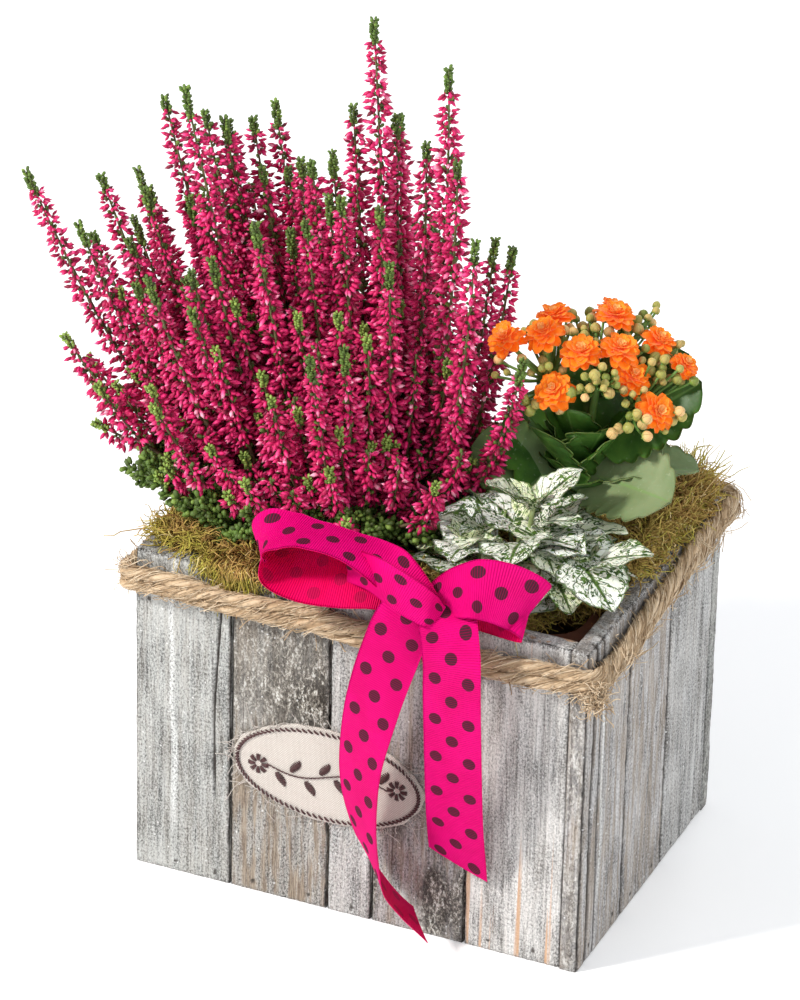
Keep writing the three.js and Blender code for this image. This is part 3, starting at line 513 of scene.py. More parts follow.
def board_shader(name, light, speckle, brown, rust, hue):
    """Weathered whitewash over grey wood, from its lightness, speckling, browning and rust."""
    s = Shader(name, Roughness=0.85, Specular_IOR_Level=0.2)
    grain, worn, mottle = s.vector("grain"), s.value("worn"), s.value("mottle")
    streaks = s.stretched(grain, (0.42, 0.42, 0.013), 4, 0.65, 0.5)
    fibres = s.stretched(grain, (1.5, 1.5, 0.07), 4, 0.75, 0.3)
    patches = s.stretched(grain, (0.07, 0.07, 0.03), 3, 0.6, 0.4)
    specks = s.stretched(grain, (1.25, 1.25, 0.85), 4, 0.8)
    tone = fibres * 0.30 + streaks * 0.46 + patches * 0.44 + (specks - 0.5) * (0.7 + 1.1 * speckle)
    shades = [tuple(light * share * h for h in hue) for share in (0.20, 0.56, 0.92, 1.22)]
    colour = tone.ramp(*zip((0.42, 0.535, 0.625, 0.75), shades))
    browned = fibres.between(0.4, 0.62).blend((0.20, 0.145, 0.10), (0.45, 0.37, 0.28))
    ageing = s.stretched(grain, (0.30, 0.30, 0.022), 3, 0.6, 0.3).between(0.40, 0.60, 0, brown)
    colour = (ageing * (1.0 - mottle)).blend(colour, browned)
    dark_lines = s.stretched(grain, (0.8, 0.8, 0.009), 2, 0.5)
    colour = dark_lines.between(0.62, 0.70, 0, 0.6 * brown + 0.2).blend(colour, (0.10, 0.08, 0.075))
    stain = s.stretched(grain, (0.22, 0.22, 0.006), 2, 0.5, 0.2)
    colour = stain.between(0.60, 0.68, 0, rust).blend(colour, (0.62, 0.36, 0.20))
    fine_crust = s.stretched(grain, (0.85, 0.85, 0.50), 3, 0.75, 0.6)
    blotches = s.stretched(grain, (0.21, 0.21, 0.085), 3, 0.7, 0.8)
    crust = fine_crust * 0.62 + blotches * 0.38
    crusted = crust.ramp((0.45, (0.035, 0.028, 0.022)), (0.505, (0.15, 0.13, 0.105)),
                         (0.545, (0.36, 0.33, 0.28)), (0.615, (0.82, 0.81, 0.77)))
    colour = mottle.blend(colour, crusted)
    chalk = s.value("chalk") * specks.between(0.36, 0.56)
    colour = chalk.blend(colour, (0.86, 0.87, 0.85))
    chipped = specks.between(0.47, 0.58).blend((0.085, 0.075, 0.068), (0.74, 0.74, 0.72))
    colour = (worn * 0.75).blend(colour, chipped)
    groove = s.value("groove").between(0.25, 0.95, 0, 0.9)
    colour = groove.blend(colour, (0.055, 0.046, 0.040))
    cells = s.scaled(grain, (0.8, 0.8, 0.8))
    flecks = s.add("TexVoronoi", "Distance", {"Vector": cells, "Scale": 0.26})
    colour = flecks.between(0.07, 0.11, 0.7, 0).blend(colour, (0.82, 0.82, 0.81))
    s.set(Base_Color=colour, Roughness=specks.between(0.3, 0.7, 0.7, 0.95))
    height = fibres + specks * (0.6 + 0.8 * speckle) + crust * mottle * 3.0
    return s.bump(height, 0.0006, 0.9)


def board_lattice(width, top):
    """Points and faces of a box with its surface cut into a fine grid, centred on x."""
    axes = (np.linspace(-width / 2, width / 2, max(8, int(width / GRID_ACROSS)) + 1),
            np.linspace(0, BOARD, GRID_DEEP + 1), np.linspace(0, top, int(top / GRID_UP) + 1))
    counts = [len(axis) for axis in axes]
    steps = np.indices(counts)
    skin = np.any([(step == 0) | (step == n - 1) for step, n in zip(steps, counts)], axis=0)
    index = np.full(counts, -1)
    index[skin] = np.arange(skin.sum())
    points = np.stack([axis[step[skin]] for axis, step in zip(axes, steps)], 1)

    def sheet(slab, flip):
        a, b, c, d = slab[:-1, :-1], slab[1:, :-1], slab[1:, 1:], slab[:-1, 1:]
        quads = np.stack([a, b, c, d], -1).reshape(-1, 4)
        return quads[:, ::-1] if flip else quads

    return points, [sheet(index[:, 0], False), sheet(index[:, -1], True), sheet(index[0], True),
                    sheet(index[-1], False), sheet(index[..., 0], True),
                    sheet(index[..., -1], False)]


def nail_places(number, width):
    """Places of small nail heads on a board, from its middle and foot as (x, z)."""
    if number <= 5:
        middle = (FRONT_SEAMS[number - 1] + FRONT_SEAMS[number]) / 2
        return [(x - middle, z) for x, z in FRONT_NAILS if abs(x - middle) < width / 2]
    return [(side * 0.28 * width + 2 * draw(number, side + 2), height + 3 * draw(number, height))
            for side in (-1, 1) for height in (4, 126)]


def add_board(name, start, end, top, half_span, quarter_turns, number, look, rough, cracks, chalk):
    """One weathered board: a fine box with furrows, pits, cracks, nail heads and worn edges."""
    width = end - start
    points, faces = board_lattice(width, top)
    x, depth, height = points.T
    z = height
    probe = points + (number * 131.7, 0, number * 57.3)

    def lumps(size, seed):
        return value_noise(probe, size, seed)

    furrow = smooth((lumps((1.5, 9, 60), 1) * 0.6 + lumps((0.9, 9, 22), 2) * 0.4 - 0.42) / 0.4)
    pits = lumps((2.2, 2.2, 3.2), 3) * 0.6 + lumps((1.1, 1.1, 1.4), 4) * 0.4
    pits = smooth((pits - 0.42) / 0.36)
    patch = smooth((lumps((16, 16, 38), 5) - 0.3) / 0.4)
    deep = 0.26 * furrow + rough * pits * (0.35 + 0.65 * patch)
    to_side = width / 2 - np.abs(x)
    wander = lumps((30, 30, 9), 6) + 0.5 * lumps((30, 30, 2.2), 7)
    bevel = 0.9 + 1.1 * wander
    round_side, round_top, round_foot = (
        np.clip(1 - inward, 0, 1) ** 2
        for inward in (to_side / bevel, (top - z) / bevel, z / (0.8 * bevel)))
    opened = np.zeros(len(points))
    for at, low, wide, lean in cracks:
        near = np.abs(x - (at + lean * (z / top) ** 2 + 0.7 * np.sin(z / 17)))
        reach = smooth((z - low) / 25)
        deep = deep + 2.2 * reach * np.clip(1 - near / wide, 0, 1)
        opened = np.maximum(opened, reach * np.clip(1.5 - near / wide, 0, 1))
    for at, level in nail_places(number, width):
        opened = np.maximum(opened, np.clip(1.9 - np.hypot(x - at, z - level) / 0.75, 0, 1))

    outer, foot, head = depth < 1e-6, height < 1e-6, height > top - 1e-6
    y = depth + np.where(outer, deep + 1.0 * (round_side + round_top + 0.6 * round_foot), 0)
    front = np.clip(1 - (y / 2.5), 0, 1)
    x = x - np.sign(x) * (0.75 * wander * front * (to_side < 1e-6))
    z = z - (0.9 * pits * rough + 0.7 * np.maximum(front, round_side)) * head
    z = z + np.where(outer, 0.35 * lumps((4, 4, 4), 8) * foot, 0)

    crusted = min(1.0, 1.15 * rough) * (rough > 0.9)
    lowness = smooth((0.64 * top - z) / 26)
    pitted = pits * patch * min(1.0, 1.6 * rough) * (1 - 0.7 * lowness * (rough > 0.9))
    groove = np.clip(0.5 * furrow + 0.35 * pitted, 0, 1)
    seam = np.clip(1.25 - to_side / (0.55 + 0.9 * wander), 0, 1) * (depth < 1.1)
    groove = np.maximum(np.maximum(groove, 0.85 * seam), np.where(depth < 2, opened, 0))
    reach = np.stack([to_side, depth, np.minimum(top - height, height + 0.4)])
    reach = reach + 1.2 * (lumps((3, 3, 5), 9) - 0.35)
    worn = sum(share * np.clip(1.2 - np.hypot(reach[a], reach[b]) / 1.9, 0, 1)
               for a, b, share in ((0, 1, 0.35), (1, 2, 1), (0, 2, 1)))
    mottle = (0.45 + 0.55 * patch) * (1 - lowness) * crusted
    if number == PATCHED_BOARD:
        mottle = np.maximum(mottle, 0.85 * smooth((lumps((7, 9, 34), 12) - 0.5) / 0.2))
    cut = np.maximum(to_side < 1e-6, head)
    mottle = np.maximum(mottle, 0.5 * cut * smooth((lumps((5, 5, 24), 10) - 0.32) / 0.3))
    streak = np.zeros(len(points))
    if chalk:
        place = CHALK_AT + 0.9 * np.sin(z / 23) + 0.5 * np.sin(z / 7.3)
        streak = np.clip(1.25 - np.abs(x - place) / 1.5, 0, 1) * smooth((z - 18) / 20)
        streak = streak * (0.55 + 0.45 * lumps((9, 9, 14), 11))
    x, y = x + (start + end) / 2, y - half_span
    c, s = [(1, 0), (0, 1), (-1, 0), (0, -1)][quarter_turns]
    build(name.replace("_board_", "_plank_"), np.stack([x * c - y * s, x * s + y * c, z], 1), faces,
          *look, (name,), groove=groove, worn=np.clip(worn, 0, 1), mottle=mottle, chalk=streak,
          grain=probe)


def add_boards():
    looks = {name: (board_shader(f"board_{name}", *look), slot)
             for name, (slot, *look) in BOARD_LOOKS.items()}
    front = (FRONT_SEAMS, FRONT_TOPS, HALF_D, FRONT_LOOKS)
    side = (SIDE_SEAMS, SIDE_TOPS, HALF_W, SIDE_LOOKS)
    number = 0
    for turns, (wall, (seams, tops, half_span, boards)) in enumerate(
            (("front", front), ("right", side), ("back", front), ("left", side))):
        last = len(boards) - 1
        for i, (look, rough) in enumerate(boards):
            number += 1
            start = seams[i] + (SEAM / 2 if i else 0)
            end = seams[i + 1] - (SEAM / 2 if i < last else 0)
            add_board(f"{wall}_board_{i + 1}", start, end, tops[i], half_span, turns, number,
                      looks[look], rough, CRACKS.get((wall, i), ()), i == 0)


# ---------------------------------------------------------------- tray, floor panel and soil

SOIL_LEVEL = 132
MOUNDS = [(7, -48, 0, 1800), (6, 56, -4, 1100), (-15, 74, -50, 420)]  # height, x, y, spread


def soil_height(x, y):
    """Height of the compost: two root balls and a hollow at the front right corner."""
    return sum((height * np.exp(-((x - cx) ** 2 + (y - cy) ** 2) / spread)
                for height, cx, cy, spread in MOUNDS), SOIL_LEVEL)


def dress_tray():
    """Looks of the two nodes that keep their CAD shape."""
    tray = Shader("tray", Specular_IOR_Level=0.35)
    dust = tray.noise(tray.where(), 60.0, 4)
    tray.set(Base_Color=dust.ramp((0.35, (0.075, 0.022, 0.014)), (0.75, (0.15, 0.06, 0.035))),
             Roughness=dust.between(0.3, 0.7, 0.35, 0.75))
    tray.bump(tray.noise(tray.where(), 400.0, 3), 0.0002, 0.5)
    wood = Shader("bare_wood", Roughness=0.85, Specular_IOR_Level=0.2)
    grain = wood.stretched(wood.where(), (8.0, 220.0, 220.0), 4, 0.6, 0.5)
    wood.set(Base_Color=grain.ramp((0.3, (0.24, 0.15, 0.08)), (0.7, (0.42, 0.29, 0.17))))
    wood.bump(grain, 0.0003, 0.6)
    for name, shader in (("liner_tray", tray), ("bottom_panel", wood)):
        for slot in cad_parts[name].material_slots:
            slot.material = shader.material


def relief(inside, step, top, bottom, box):
    """A closed slab over the grid cells that are inside, between two height functions."""
    xs = np.arange(box[0], box[2] + step, step)
    ys = np.arange(box[1], box[3] + step, step)
    gx, gy = np.meshgrid(xs, ys, indexing="ij")
    keep = inside((gx[:-1, :-1] + gx[1:, 1:]) / 2, (gy[:-1, :-1] + gy[1:, 1:]) / 2)
    n = gx.size
    x, y = gx.ravel(), gy.ravel()
    points = np.vstack([np.column_stack([x, y, level(x, y)]) for level in (top, bottom)])
    index = np.arange(n).reshape(gx.shape)
    i, j = np.nonzero(keep)
    a, b, c, d = index[i, j], index[i + 1, j], index[i + 1, j + 1], index[i, j + 1]
    faces = [np.stack([a, b, c, d], 1), np.stack([a, d, c, b], 1) + n]
    padded_keep = np.pad(keep, 1)
    for di, dj, p, q in ((0, -1, a, b), (1, 0, b, c), (0, 1, c, d), (-1, 0, d, a)):
        edge = ~padded_keep[i + 1 + di, j + 1 + dj]
        faces.append(np.stack([p[edge] + n, q[edge] + n, q[edge], p[edge]], 1))
    used = np.unique(np.concatenate([f.ravel() for f in faces]))
    renumber = np.zeros(len(points), int)
    renumber[used] = np.arange(len(used))
    return points[used], [renumber[f] for f in faces]


SOIL_STEP, SOIL_BOTTOM, SOIL_BOX = 1.2, 9.6, (-85, -59, 85, 59)
CRUMBS = 2600


def add_soil():
    s = Shader("earth", Roughness=1.0, Specular_IOR_Level=0.1)
    lumps = s.noise(s.where(), 350.0, 5, 0.7)
    s.set(Base_Color=lumps.ramp((0.3, (0.018, 0.011, 0.007)), (0.7, (0.075, 0.048, 0.03))))
    s.bump(lumps, 0.0008)

    def inside(x, y):
        return np.hypot(np.maximum(np.abs(x) - 76, 0), np.maximum(np.abs(y) - 50, 0)) < 8.6

    def top(x, y):
        place = flat_points(x, y)
        coarse, fine = value_noise(place, 5, 1), value_noise(place, 2, 2)
        return soil_height(x, y) + 3.4 * (coarse - 0.5) + 2 * (fine - 0.5)

    heap = Heap()
    heap.add(*relief(inside, SOIL_STEP, top, lambda x, y: 0 * x + SOIL_BOTTOM, SOIL_BOX))
    rng = np.random.default_rng(5)
    x, y = scattered(rng, CRUMBS, (-82, 82), (-56, 56)).T
    size = rng.uniform(0.4, 1.3, (CRUMBS, 1)) * rng.uniform(0.6, 1.3, (CRUMBS, 3))
    frames = frames_along(rng.normal(size=(CRUMBS, 3)), size)
    crumb = lathe([(0, -1), (0.9, -0.4), (0.8, 0.5), (0, 1)], 5)
    heap.add(*scatter(*crumb, np.column_stack([x, y, top(x, y) + 0.4]), frames))
    heap.build("earth_surface", s.material, "earth", ("soil",), False)


# ---------------------------------------------------------------- moss

RIM_TOP = 150.4
MOSS_AREAS = {  # box of the pad, number of strands
    "moss_front_left": ((-81, -56, 8, -22), 9000),
    "moss_front_right": ((8, -56, 60, -42), 4200),
    "moss_right": ((68, -28, 81, 56), 7600),
    "moss_back": ((-81, 34, 66, 56), 9000),
}
ROUND_HEATHER = ("moss_front_left", "moss_back")
MOSS_FALLS = {  # strands down the front wall: place, width, fall, number
    "moss_front_left": [(-52, 7, 16, 170), (-58, 4, 22, 90), (-68, 6, 9, 90), (-40, 7, 6, 40)],
    "moss_front_right": [(28, 8, 6, 60)],
}
MOSS_SPILL = 14
TUFT_STALKS = [
    ([(84, 60, 149), (88, 62, 166), (91, 62, 175), (97.6, 62, 178)], 0.6),
    ([(82, 61, 150), (86, 60, 162), (92, 60, 167), (97.5, 60, 170)], 0.7),
    ([(88, 58, 150), (84, 60, 163), (86, 62, 170), (88, 63, 174)], 0.55),
    ([(90, 58, 152), (94.2, 59, 164), (103, 56, 169), (109, 54, 170), (114, 52, 175),
      (119, 50, 179)], 0.4),
]


def moss_shader(name, greenness):
    s = Shader(name, Roughness=0.95, Specular_IOR_Level=0.15)
    dry = s.value("tint").ramp(
        (0.0, (0.11, 0.055, 0.016)), (0.3, (0.36, 0.21, 0.07)), (0.55, (0.54, 0.38, 0.12)),
        (0.8, (0.50, 0.46, 0.08)), (1.0, (0.86, 0.68, 0.38)))
    clump = s.noise(s.where(), 45.0, 3)
    mossy = clump.between(0.45, 0.55).blend((0.40, 0.38, 0.05), (0.42, 0.23, 0.08))
    s.set(Base_Color=s.mix(greenness, dry, mossy))
    return s.bump(s.noise(s.where(), 900.0, 2), 0.0002, 0.5)


def curls(rng, start, lean, length, wander, steps=7):
    """Curling thin paths from start points: each leans one way and strays off it at random."""
    count = len(start)
    heading = unit(lean + 0.55 * rng.normal(size=(count, 3)))
    paths = [start]
    bend = rng.normal(size=(count, 3))
    for _ in range(steps - 1):
        bend = 0.6 * bend + 0.8 * rng.normal(size=(count, 3))
        heading = unit(heading + wander * bend)
        paths.append(paths[-1] + heading * (length / (steps - 1))[:, None])
    return np.stack(paths, 1)


def rim_keep_out(paths, low):
    """Holds strands above the board tops and outside the boards, so that none cuts through."""
    x, y, z = np.abs(paths[..., 0]), np.abs(paths[..., 1]), paths[..., 2]
    over_rim = (x > INSIDE_W - 0.5) | (y > INSIDE_D - 0.5)
    past = (x > HALF_W + 0.6) | (y > HALF_D + 0.6)
    paths[..., 2] = np.maximum(z, np.where(past, 0, np.where(over_rim, RIM_TOP, low)))
    return paths


def hanging(rng, at, fall, steps=9):
    """Strands that cross the rim of the front wall and hang down its face, curling as they go."""
    t = np.linspace(0, 1, steps)[None]
    count = len(at)
    edge = -HALF_D - rng.uniform(0.8, 3.2, (count, 1))
    y = mix(at[:, 1:2], edge, smooth(t / 0.45))
    z = np.maximum(at[:, 2:3], 151.2) - fall[:, None] * np.clip((t - 0.4) / 0.6, 0, 1) ** 1.2
    x = at[:, 0:1] + 3.0 * rng.normal(size=(count, 1)) * t
    paths = np.stack(np.broadcast_arrays(x, y, z), -1)
    paths = paths + np.cumsum(rng.normal(0, 0.75, (count, steps, 3)), axis=1) * (1, 0.25, 0.6)
    above = paths[..., 2] > RIM_TOP + 0.2
    paths[..., 1] = np.where(above, paths[..., 1], np.minimum(paths[..., 1], -HALF_D - 0.5))
    return paths


def from_heather(x, y):
    return np.hypot(x - HEATHER_FOOT[0], y - HEATHER_FOOT[1])


def moss_top(x, y):
    """Height of the pads, which bank up to the walls and stay low round the heather."""
    edge = np.maximum(smooth((np.abs(x) - 48) / 28), smooth((np.abs(y) - 28) / 22))
    bank = edge * smooth((from_heather(x, y) - 34) / 24)
    place = flat_points(x, y)
    lumps = (value_noise(place, 8, 3) + 0.6 * value_noise(place, 3, 4)).reshape(x.shape)
    right = smooth((x - 62) / 12) * smooth((y + 36) / 20)
    return soil_height(x, y) + 2.4 + 12 * bank + (3.4 + 2.6 * right) * lumps


def moss_strands(rng, box, count, number):
    """Curling strands all over a pad and a little past it, over the rim."""
    x, y = scattered(rng, 3 * count, (box[0] - MOSS_SPILL, box[2] + MOSS_SPILL),
                     (box[1] - MOSS_SPILL, box[3] + MOSS_SPILL)).T
    tuft = value_noise(flat_points(x, y), 13, 9 + number)
    reach_x = INSIDE_W - 3 + np.where(x > 0, 17 * smooth((y + 24) / 20), 10) * tuft
    reach_y = INSIDE_D - 3 + np.where(y < 0, 9 * smooth((-44 - x) / 12), 9) * tuft
    fine = ((np.abs(x) < reach_x) & (np.abs(y) < reach_y) & (from_heather(x, y) > 33)
            & ((x < 64) | (y > -30) | (np.hypot(x - 76, y + 52) > 19)))
    x, y, tuft = x[fine][:count], y[fine][:count], tuft[fine][:count]
    count = len(x)
    outside = np.maximum(np.abs(x) - 84, 0) + np.maximum(np.abs(y) - 58, 0)
    height = moss_top(np.clip(x, -84, 84), np.clip(y, -58, 58)) + 0.9 * np.minimum(outside, 6)
    raised = 3.5 + 4.5 * smooth((x - 60) / 15) * smooth((y + 30) / 25)
    height = height + raised * tuft - rng.uniform(0, 4.5, count)
    out = np.column_stack([np.sign(x) * smooth((np.abs(x) - 60) / 25),
                           np.sign(y) * smooth((np.abs(y) - 38) / 20), 0 * x])
    reach = rng.uniform(5, 15, count) * np.where(rng.random(count) < 0.1, 1.6, 1.0)
    start = np.column_stack([x, y, height])
    paths = curls(rng, start, np.array([0, 0, 0.35]) + 0.5 * out, reach, 0.75)
    paths[..., 2] = np.minimum(paths[..., 2], height[:, None] + 6 + 4 * rng.random((count, 1)))
    return rim_keep_out(paths, 140)


def add_moss():
    green, golden = moss_shader("moss", 0.42), moss_shader("golden_moss", 0.14)
    for number, (name, (box, count)) in enumerate(MOSS_AREAS.items()):
        def inside(x, y):
            return from_heather(x, y) > 33 if name in ROUND_HEATHER else x == x

        rng = np.random.default_rng(40 + number)
        heap = Heap()
        slab = relief(inside, 2.0, moss_top, lambda x, y: soil_height(x, y) - 1.5, box)
        heap.add(*slab, tint=0.12)
        paths = moss_strands(rng, box, count, number)
        count, steps, _ = paths.shape
        girth = rng.uniform(0.18, 0.46, (count, 1)) * np.linspace(1, 0.55, steps)
        tint = rng.normal(0.40 if name == "moss_right" else 0.45, 0.24, count)
        heap.add_strands(paths, girth, np.clip(tint, 0, 1))
        for cx, wide, fall, strands in MOSS_FALLS.get(name, ()):
            at = np.column_stack([cx + wide * rng.normal(0, 0.4, strands),
                                  scattered(rng, strands, (-72, -62), (149.5, 153))])
            hang = hanging(rng, at, fall * rng.uniform(0.3, 1, strands))
            girth = rng.uniform(0.18, 0.42, (strands, 1)) * np.linspace(1, 0.5, hang.shape[1])
            heap.add_strands(hang, girth, np.clip(rng.normal(0.55, 0.2, strands), 0, 1))
        heap.build(f"sheet_{name}", golden if name == "moss_right" else green, "moss", (name,))


def loose_strands(rng, count, start, lean, length, wander, steps, low, limit, girth, tint,
                  crowd=None):
    """A heap of strands with random starts, leans and lengths, held off the boards."""
    start = scattered(rng, count, *start)
    if crowd:
        start[:, 1] = crowd(start[:, 1])
    lean = scattered(rng, count, *lean)
    paths = rim_keep_out(curls(rng, start, lean, rng.uniform(*length, count), wander, steps), low)
    paths[..., 0] = np.minimum(paths[..., 0], limit)
    heap = Heap()
    girth = rng.uniform(*girth, (count, 1)) * np.linspace(1, 0.4, steps)
    heap.add_strands(paths, girth, rng.uniform(*tint, count), 4)
    return heap


def add_loose_moss():
    """Dry stalks and a tuft at the back right corner, and strands on the rim at the right."""
    heap = loose_strands(np.random.default_rng(77), 70, ((76, 92), (-10, 60), (147, 152)),
                         ((0.1, 1.0), (-0.3, 0.8), (0.1, 0.9)), (12, 24), 0.22, 9, 140, 112,
                         (0.2, 0.42), (0.3, 1))
    for path, thick in TUFT_STALKS:
        heap.add(*stalk(path, thick, 0.3 * thick, 6, 18), tint=0.9)
    heap.build("dry_stalks", moss_shader("dry_stalk", 0.0), "moss")
    rng = np.random.default_rng(78)
    heap = loose_strands(rng, 420, ((80, 91), (52, 65), (145, 150)),
                         ((-0.1, 0.6), (-0.2, 0.2), (1.3, 2.4)), (14, 30), 0.2, 8, 140, np.inf,
                         (0.25, 0.5), (0.4, 1))
    heap.build("moss_tuft", moss_shader("tuft_moss", 0.34), "moss")
    heap = loose_strands(rng, 900, ((87, 99), (0, 1), (150.7, 153.5)),
                         ((-0.7, 1.1), (-0.9, 0.9), (-0.1, 0.45)), (6, 15), 0.5, 8, 150.5, 105,
                         (0.22, 0.45), (0.1, 1), lambda share: -12 + 74 * share**0.6)
    heap.build("moss_on_rim", moss_shader("rim_moss", 0.2), "moss")


# ---------------------------------------------------------------- rope

ROPE_STEPS, ROPE_SIDES, STRANDS = 1500, 18, 3
ROPE_OFF, ROPE_BEND, ROPE_LOW, ROPE_RISE = 3.9, 5.0, 138, 8
STRAND_TURNS, PLY_TURNS, STRAND_RADIUS, STRAND_OUT, STRAND_UP, PLY = 4, 22, 2.35, 0.9, 3.5, 0.13
FIBRES, FIBRE_STEPS, FRAYED = 5200, 8, 260
UP = np.array([0, 0, 1.0])


def rope_frame():
    """Points round the rim with their outward directions and the length run to each."""
    w, d, r = HALF_W + ROPE_OFF, HALF_D + ROPE_OFF, ROPE_BEND
    runs = [2 * (d - r), math.pi * r / 2, 2 * (w - r), math.pi * r / 2] * 2
    ends = np.cumsum(runs)
    length = np.arange(ROPE_STEPS) / ROPE_STEPS * ends[-1]
    corners = np.array([(w - r, -d + r), (w - r, d - r), (-w + r, d - r), (-w + r, -d + r)], float)
    points, outs = np.zeros((ROPE_STEPS, 3)), np.zeros((ROPE_STEPS, 3))
    for k in range(8):
        low = ends[k] - runs[k]
        on = (length >= low) & (length < ends[k] + 1e-9)
        share = (length[on] - low) / runs[k]
        angle = np.radians(90.0 * (k // 2)) + (share * math.pi / 2 if k % 2 else 0 * share)
        out = np.column_stack([np.cos(angle), np.sin(angle)])
        start, finish = corners[((k + 1) // 2) % 4], corners[(k // 2 + 1) % 4]
        points[on, :2] = (start if k % 2 else mix(start, finish, share[:, None])) + r * out
        outs[on, :2] = out
    along_right = smooth((points[:, 1] + HALF_D) / (2 * HALF_D))
    along_back = smooth((points[:, 0] + HALF_W) / (2 * HALF_W))
    points[:, 2] = ROPE_LOW + ROPE_RISE * np.minimum(along_right, along_back)
    points[:, 2] += 1.6 * (value_noise(points, 60, 5) - 0.5)
    return points, outs, length, ends[-1]


def around(base, outs, angle, outward, upward):
    """Points at an angle round base, at reaches along its outward directions and up."""
    return (base + outs * (outward * np.cos(angle))[..., None]
            + UP * (upward * np.sin(angle))[..., None])


def add_rope():
    s = Shader("jute", Roughness=0.9, Specular_IOR_Level=0.2)
    colour = s.value("tint").ramp((0.0, (0.24, 0.15, 0.08)), (0.45, (0.55, 0.40, 0.25)),
                                  (1.0, (0.80, 0.66, 0.48)))
    streak = s.noise(s.where(), 260.0, 4, 0.65)
    s.set(Base_Color=streak.between(0.5, 0.72, 0, 0.45).blend(colour, (0.18, 0.10, 0.05)))
    s.bump(s.noise(s.where(), 900.0, 3), 0.0005, 0.9)

    points, outs, length, total = rope_frame()
    ply_turn = TAU * length / (total / PLY_TURNS)
    heap = Heap()
    lanes = []
    angle = np.arange(ROPE_SIDES) * TAU / ROPE_SIDES
    quads = np.roll(ring_quads(ROPE_STEPS + 1, ROPE_SIDES).reshape(-1, 4), -1, axis=1)
    for k in range(STRANDS):
        phase = TAU * k / STRANDS + TAU * length / (total / STRAND_TURNS)
        lane = around(points, outs, phase, STRAND_OUT, STRAND_UP)
        lane = lane + UP * (1.2 * (value_noise(points + (0, 0, 70 * k), 14, 8) - 0.5))[:, None]
        lanes.append(lane)
        ply = 1 + PLY * np.cos(3 * (angle[None] - ply_turn[:, None]))
        place = flat_points(np.repeat(length, ROPE_SIDES), np.tile(angle, ROPE_STEPS) * 3, 9.0 * k)
        rough = value_noise(place, (5, 1, 1), 2).reshape(ply.shape)
        radius = STRAND_RADIUS * ply * (0.88 + 0.24 * rough)
        # The strands are painted darker in the valleys between their plies: painted shade.
        valley_shade = 0.5 - 0.5 * (ply - 1) / PLY
        tone = 0.62 - 0.42 * valley_shade + 0.3 * (rough - 0.5)
        heap.add(around(lane[:, None], outs[:, None], angle, radius, radius),
                 [quads % (ROPE_STEPS * ROPE_SIDES)], tint=np.clip(tone, 0, 1).ravel())

    rng = np.random.default_rng(12)
    strand = rng.integers(0, STRANDS, FIBRES)
    start = rng.integers(0, ROPE_STEPS, FIBRES)
    reach = rng.uniform(10, 34, FIBRES) * rng.choice([-1, 1], FIBRES)
    share = np.linspace(0, 1, FIBRE_STEPS)
    at = (start[:, None] + share * reach[:, None]).astype(int) % ROPE_STEPS
    stray = rng.random(FIBRES) ** 5 * 7
    twist = rng.uniform(0, TAU, FIBRES)[:, None] + ply_turn[at] + share * 0.4
    away = 2.5 + 0.25 * rng.random((FIBRES, 1)) + stray[:, None] * share**2
    paths = around(np.stack(lanes)[strand[:, None], at], outs[at], twist, away, away)
    inner = np.einsum("fsk,fsk->fs", paths - points[at], outs[at])
    paths = paths + outs[at] * np.maximum(-3.2 - inner, 0)[..., None]
    girth = rng.uniform(0.12, 0.26, (FIBRES, 1)) * np.ones(FIBRE_STEPS)
    heap.add_strands(paths, girth, rng.uniform(0.25, 1, FIBRES))

    corner = np.array([HALF_W + 4.5, -HALF_D - 4.5, 134.0])
    begin = corner + rng.normal(size=(FRAYED, 3)) * (2.2, 2.2, 2.6)
    lean = np.column_stack([rng.normal(*spread, FRAYED)
                            for spread in ((0.1, 0.6), (-0.1, 0.6), (-0.1, 0.7))])
    tufts = curls(rng, begin, lean, rng.uniform(3, 9, FRAYED), 0.6)
    past_front = tufts[..., 1] < -HALF_D - 0.6
    tufts[..., 0] = np.maximum(tufts[..., 0], HALF_W + 0.6 - 60 * past_front)
    girth = rng.uniform(0.14, 0.3, (FRAYED, 1)) * np.ones(tufts.shape[1])
    heap.add_strands(tufts, girth, rng.uniform(0.2, 1, FRAYED))
    heap.build("jute_rope", s.material, "jute", ("rope_round_rim",))


# ---------------------------------------------------------------- ribbon

RIBBON_WIDTH, RIBBON_SHEET, RIBBON_STATIONS, RIBBON_COLUMNS = 25.0, 0.34, 221, 21
# Stations of each band: place, direction across, width.
LEFT_TAIL = [
    (35, -85, 164, 0.98, 0.1, -0.2, 19), (28, -90, 158, 0.97, 0.1, -0.25, 24),
    (21, -93.5, 138, 0.96, -0.05, -0.2, 25), (15.4, -96, 115, 0.95, -0.2, -0.2, 25),
    (11.7, -97, 92, 0.91, -0.41, -0.05, 25), (10.7, -96, 75, 0.87, -0.5, 0, 25),
    (11, -93.5, 60, 0.8, -0.6, 0, 25), (13, -91, 46, 0.7, -0.7, 0.05, 25),
    (19, -89, 30, 0.45, -0.88, 0.15, 25), (27, -88.5, 21, 0.35, -0.9, 0.25, 25),
    (36, -88, 14, 0.3, -0.92, 0.25, 24),
]
RIGHT_TAIL = [
    (40, -84, 164, 1, 0.05, 0, 20), (46, -92, 159, 1, 0.05, 0, 24), (50, -97, 147, 1, 0, 0, 25),
    (51, -98, 130, 1, 0, 0, 25), (51, -95, 100, 1, 0, 0, 25), (49.5, -87.5, 67, 1, 0, 0, 25),
    (48.5, -80, 42, 1, 0, 0, 25),
]
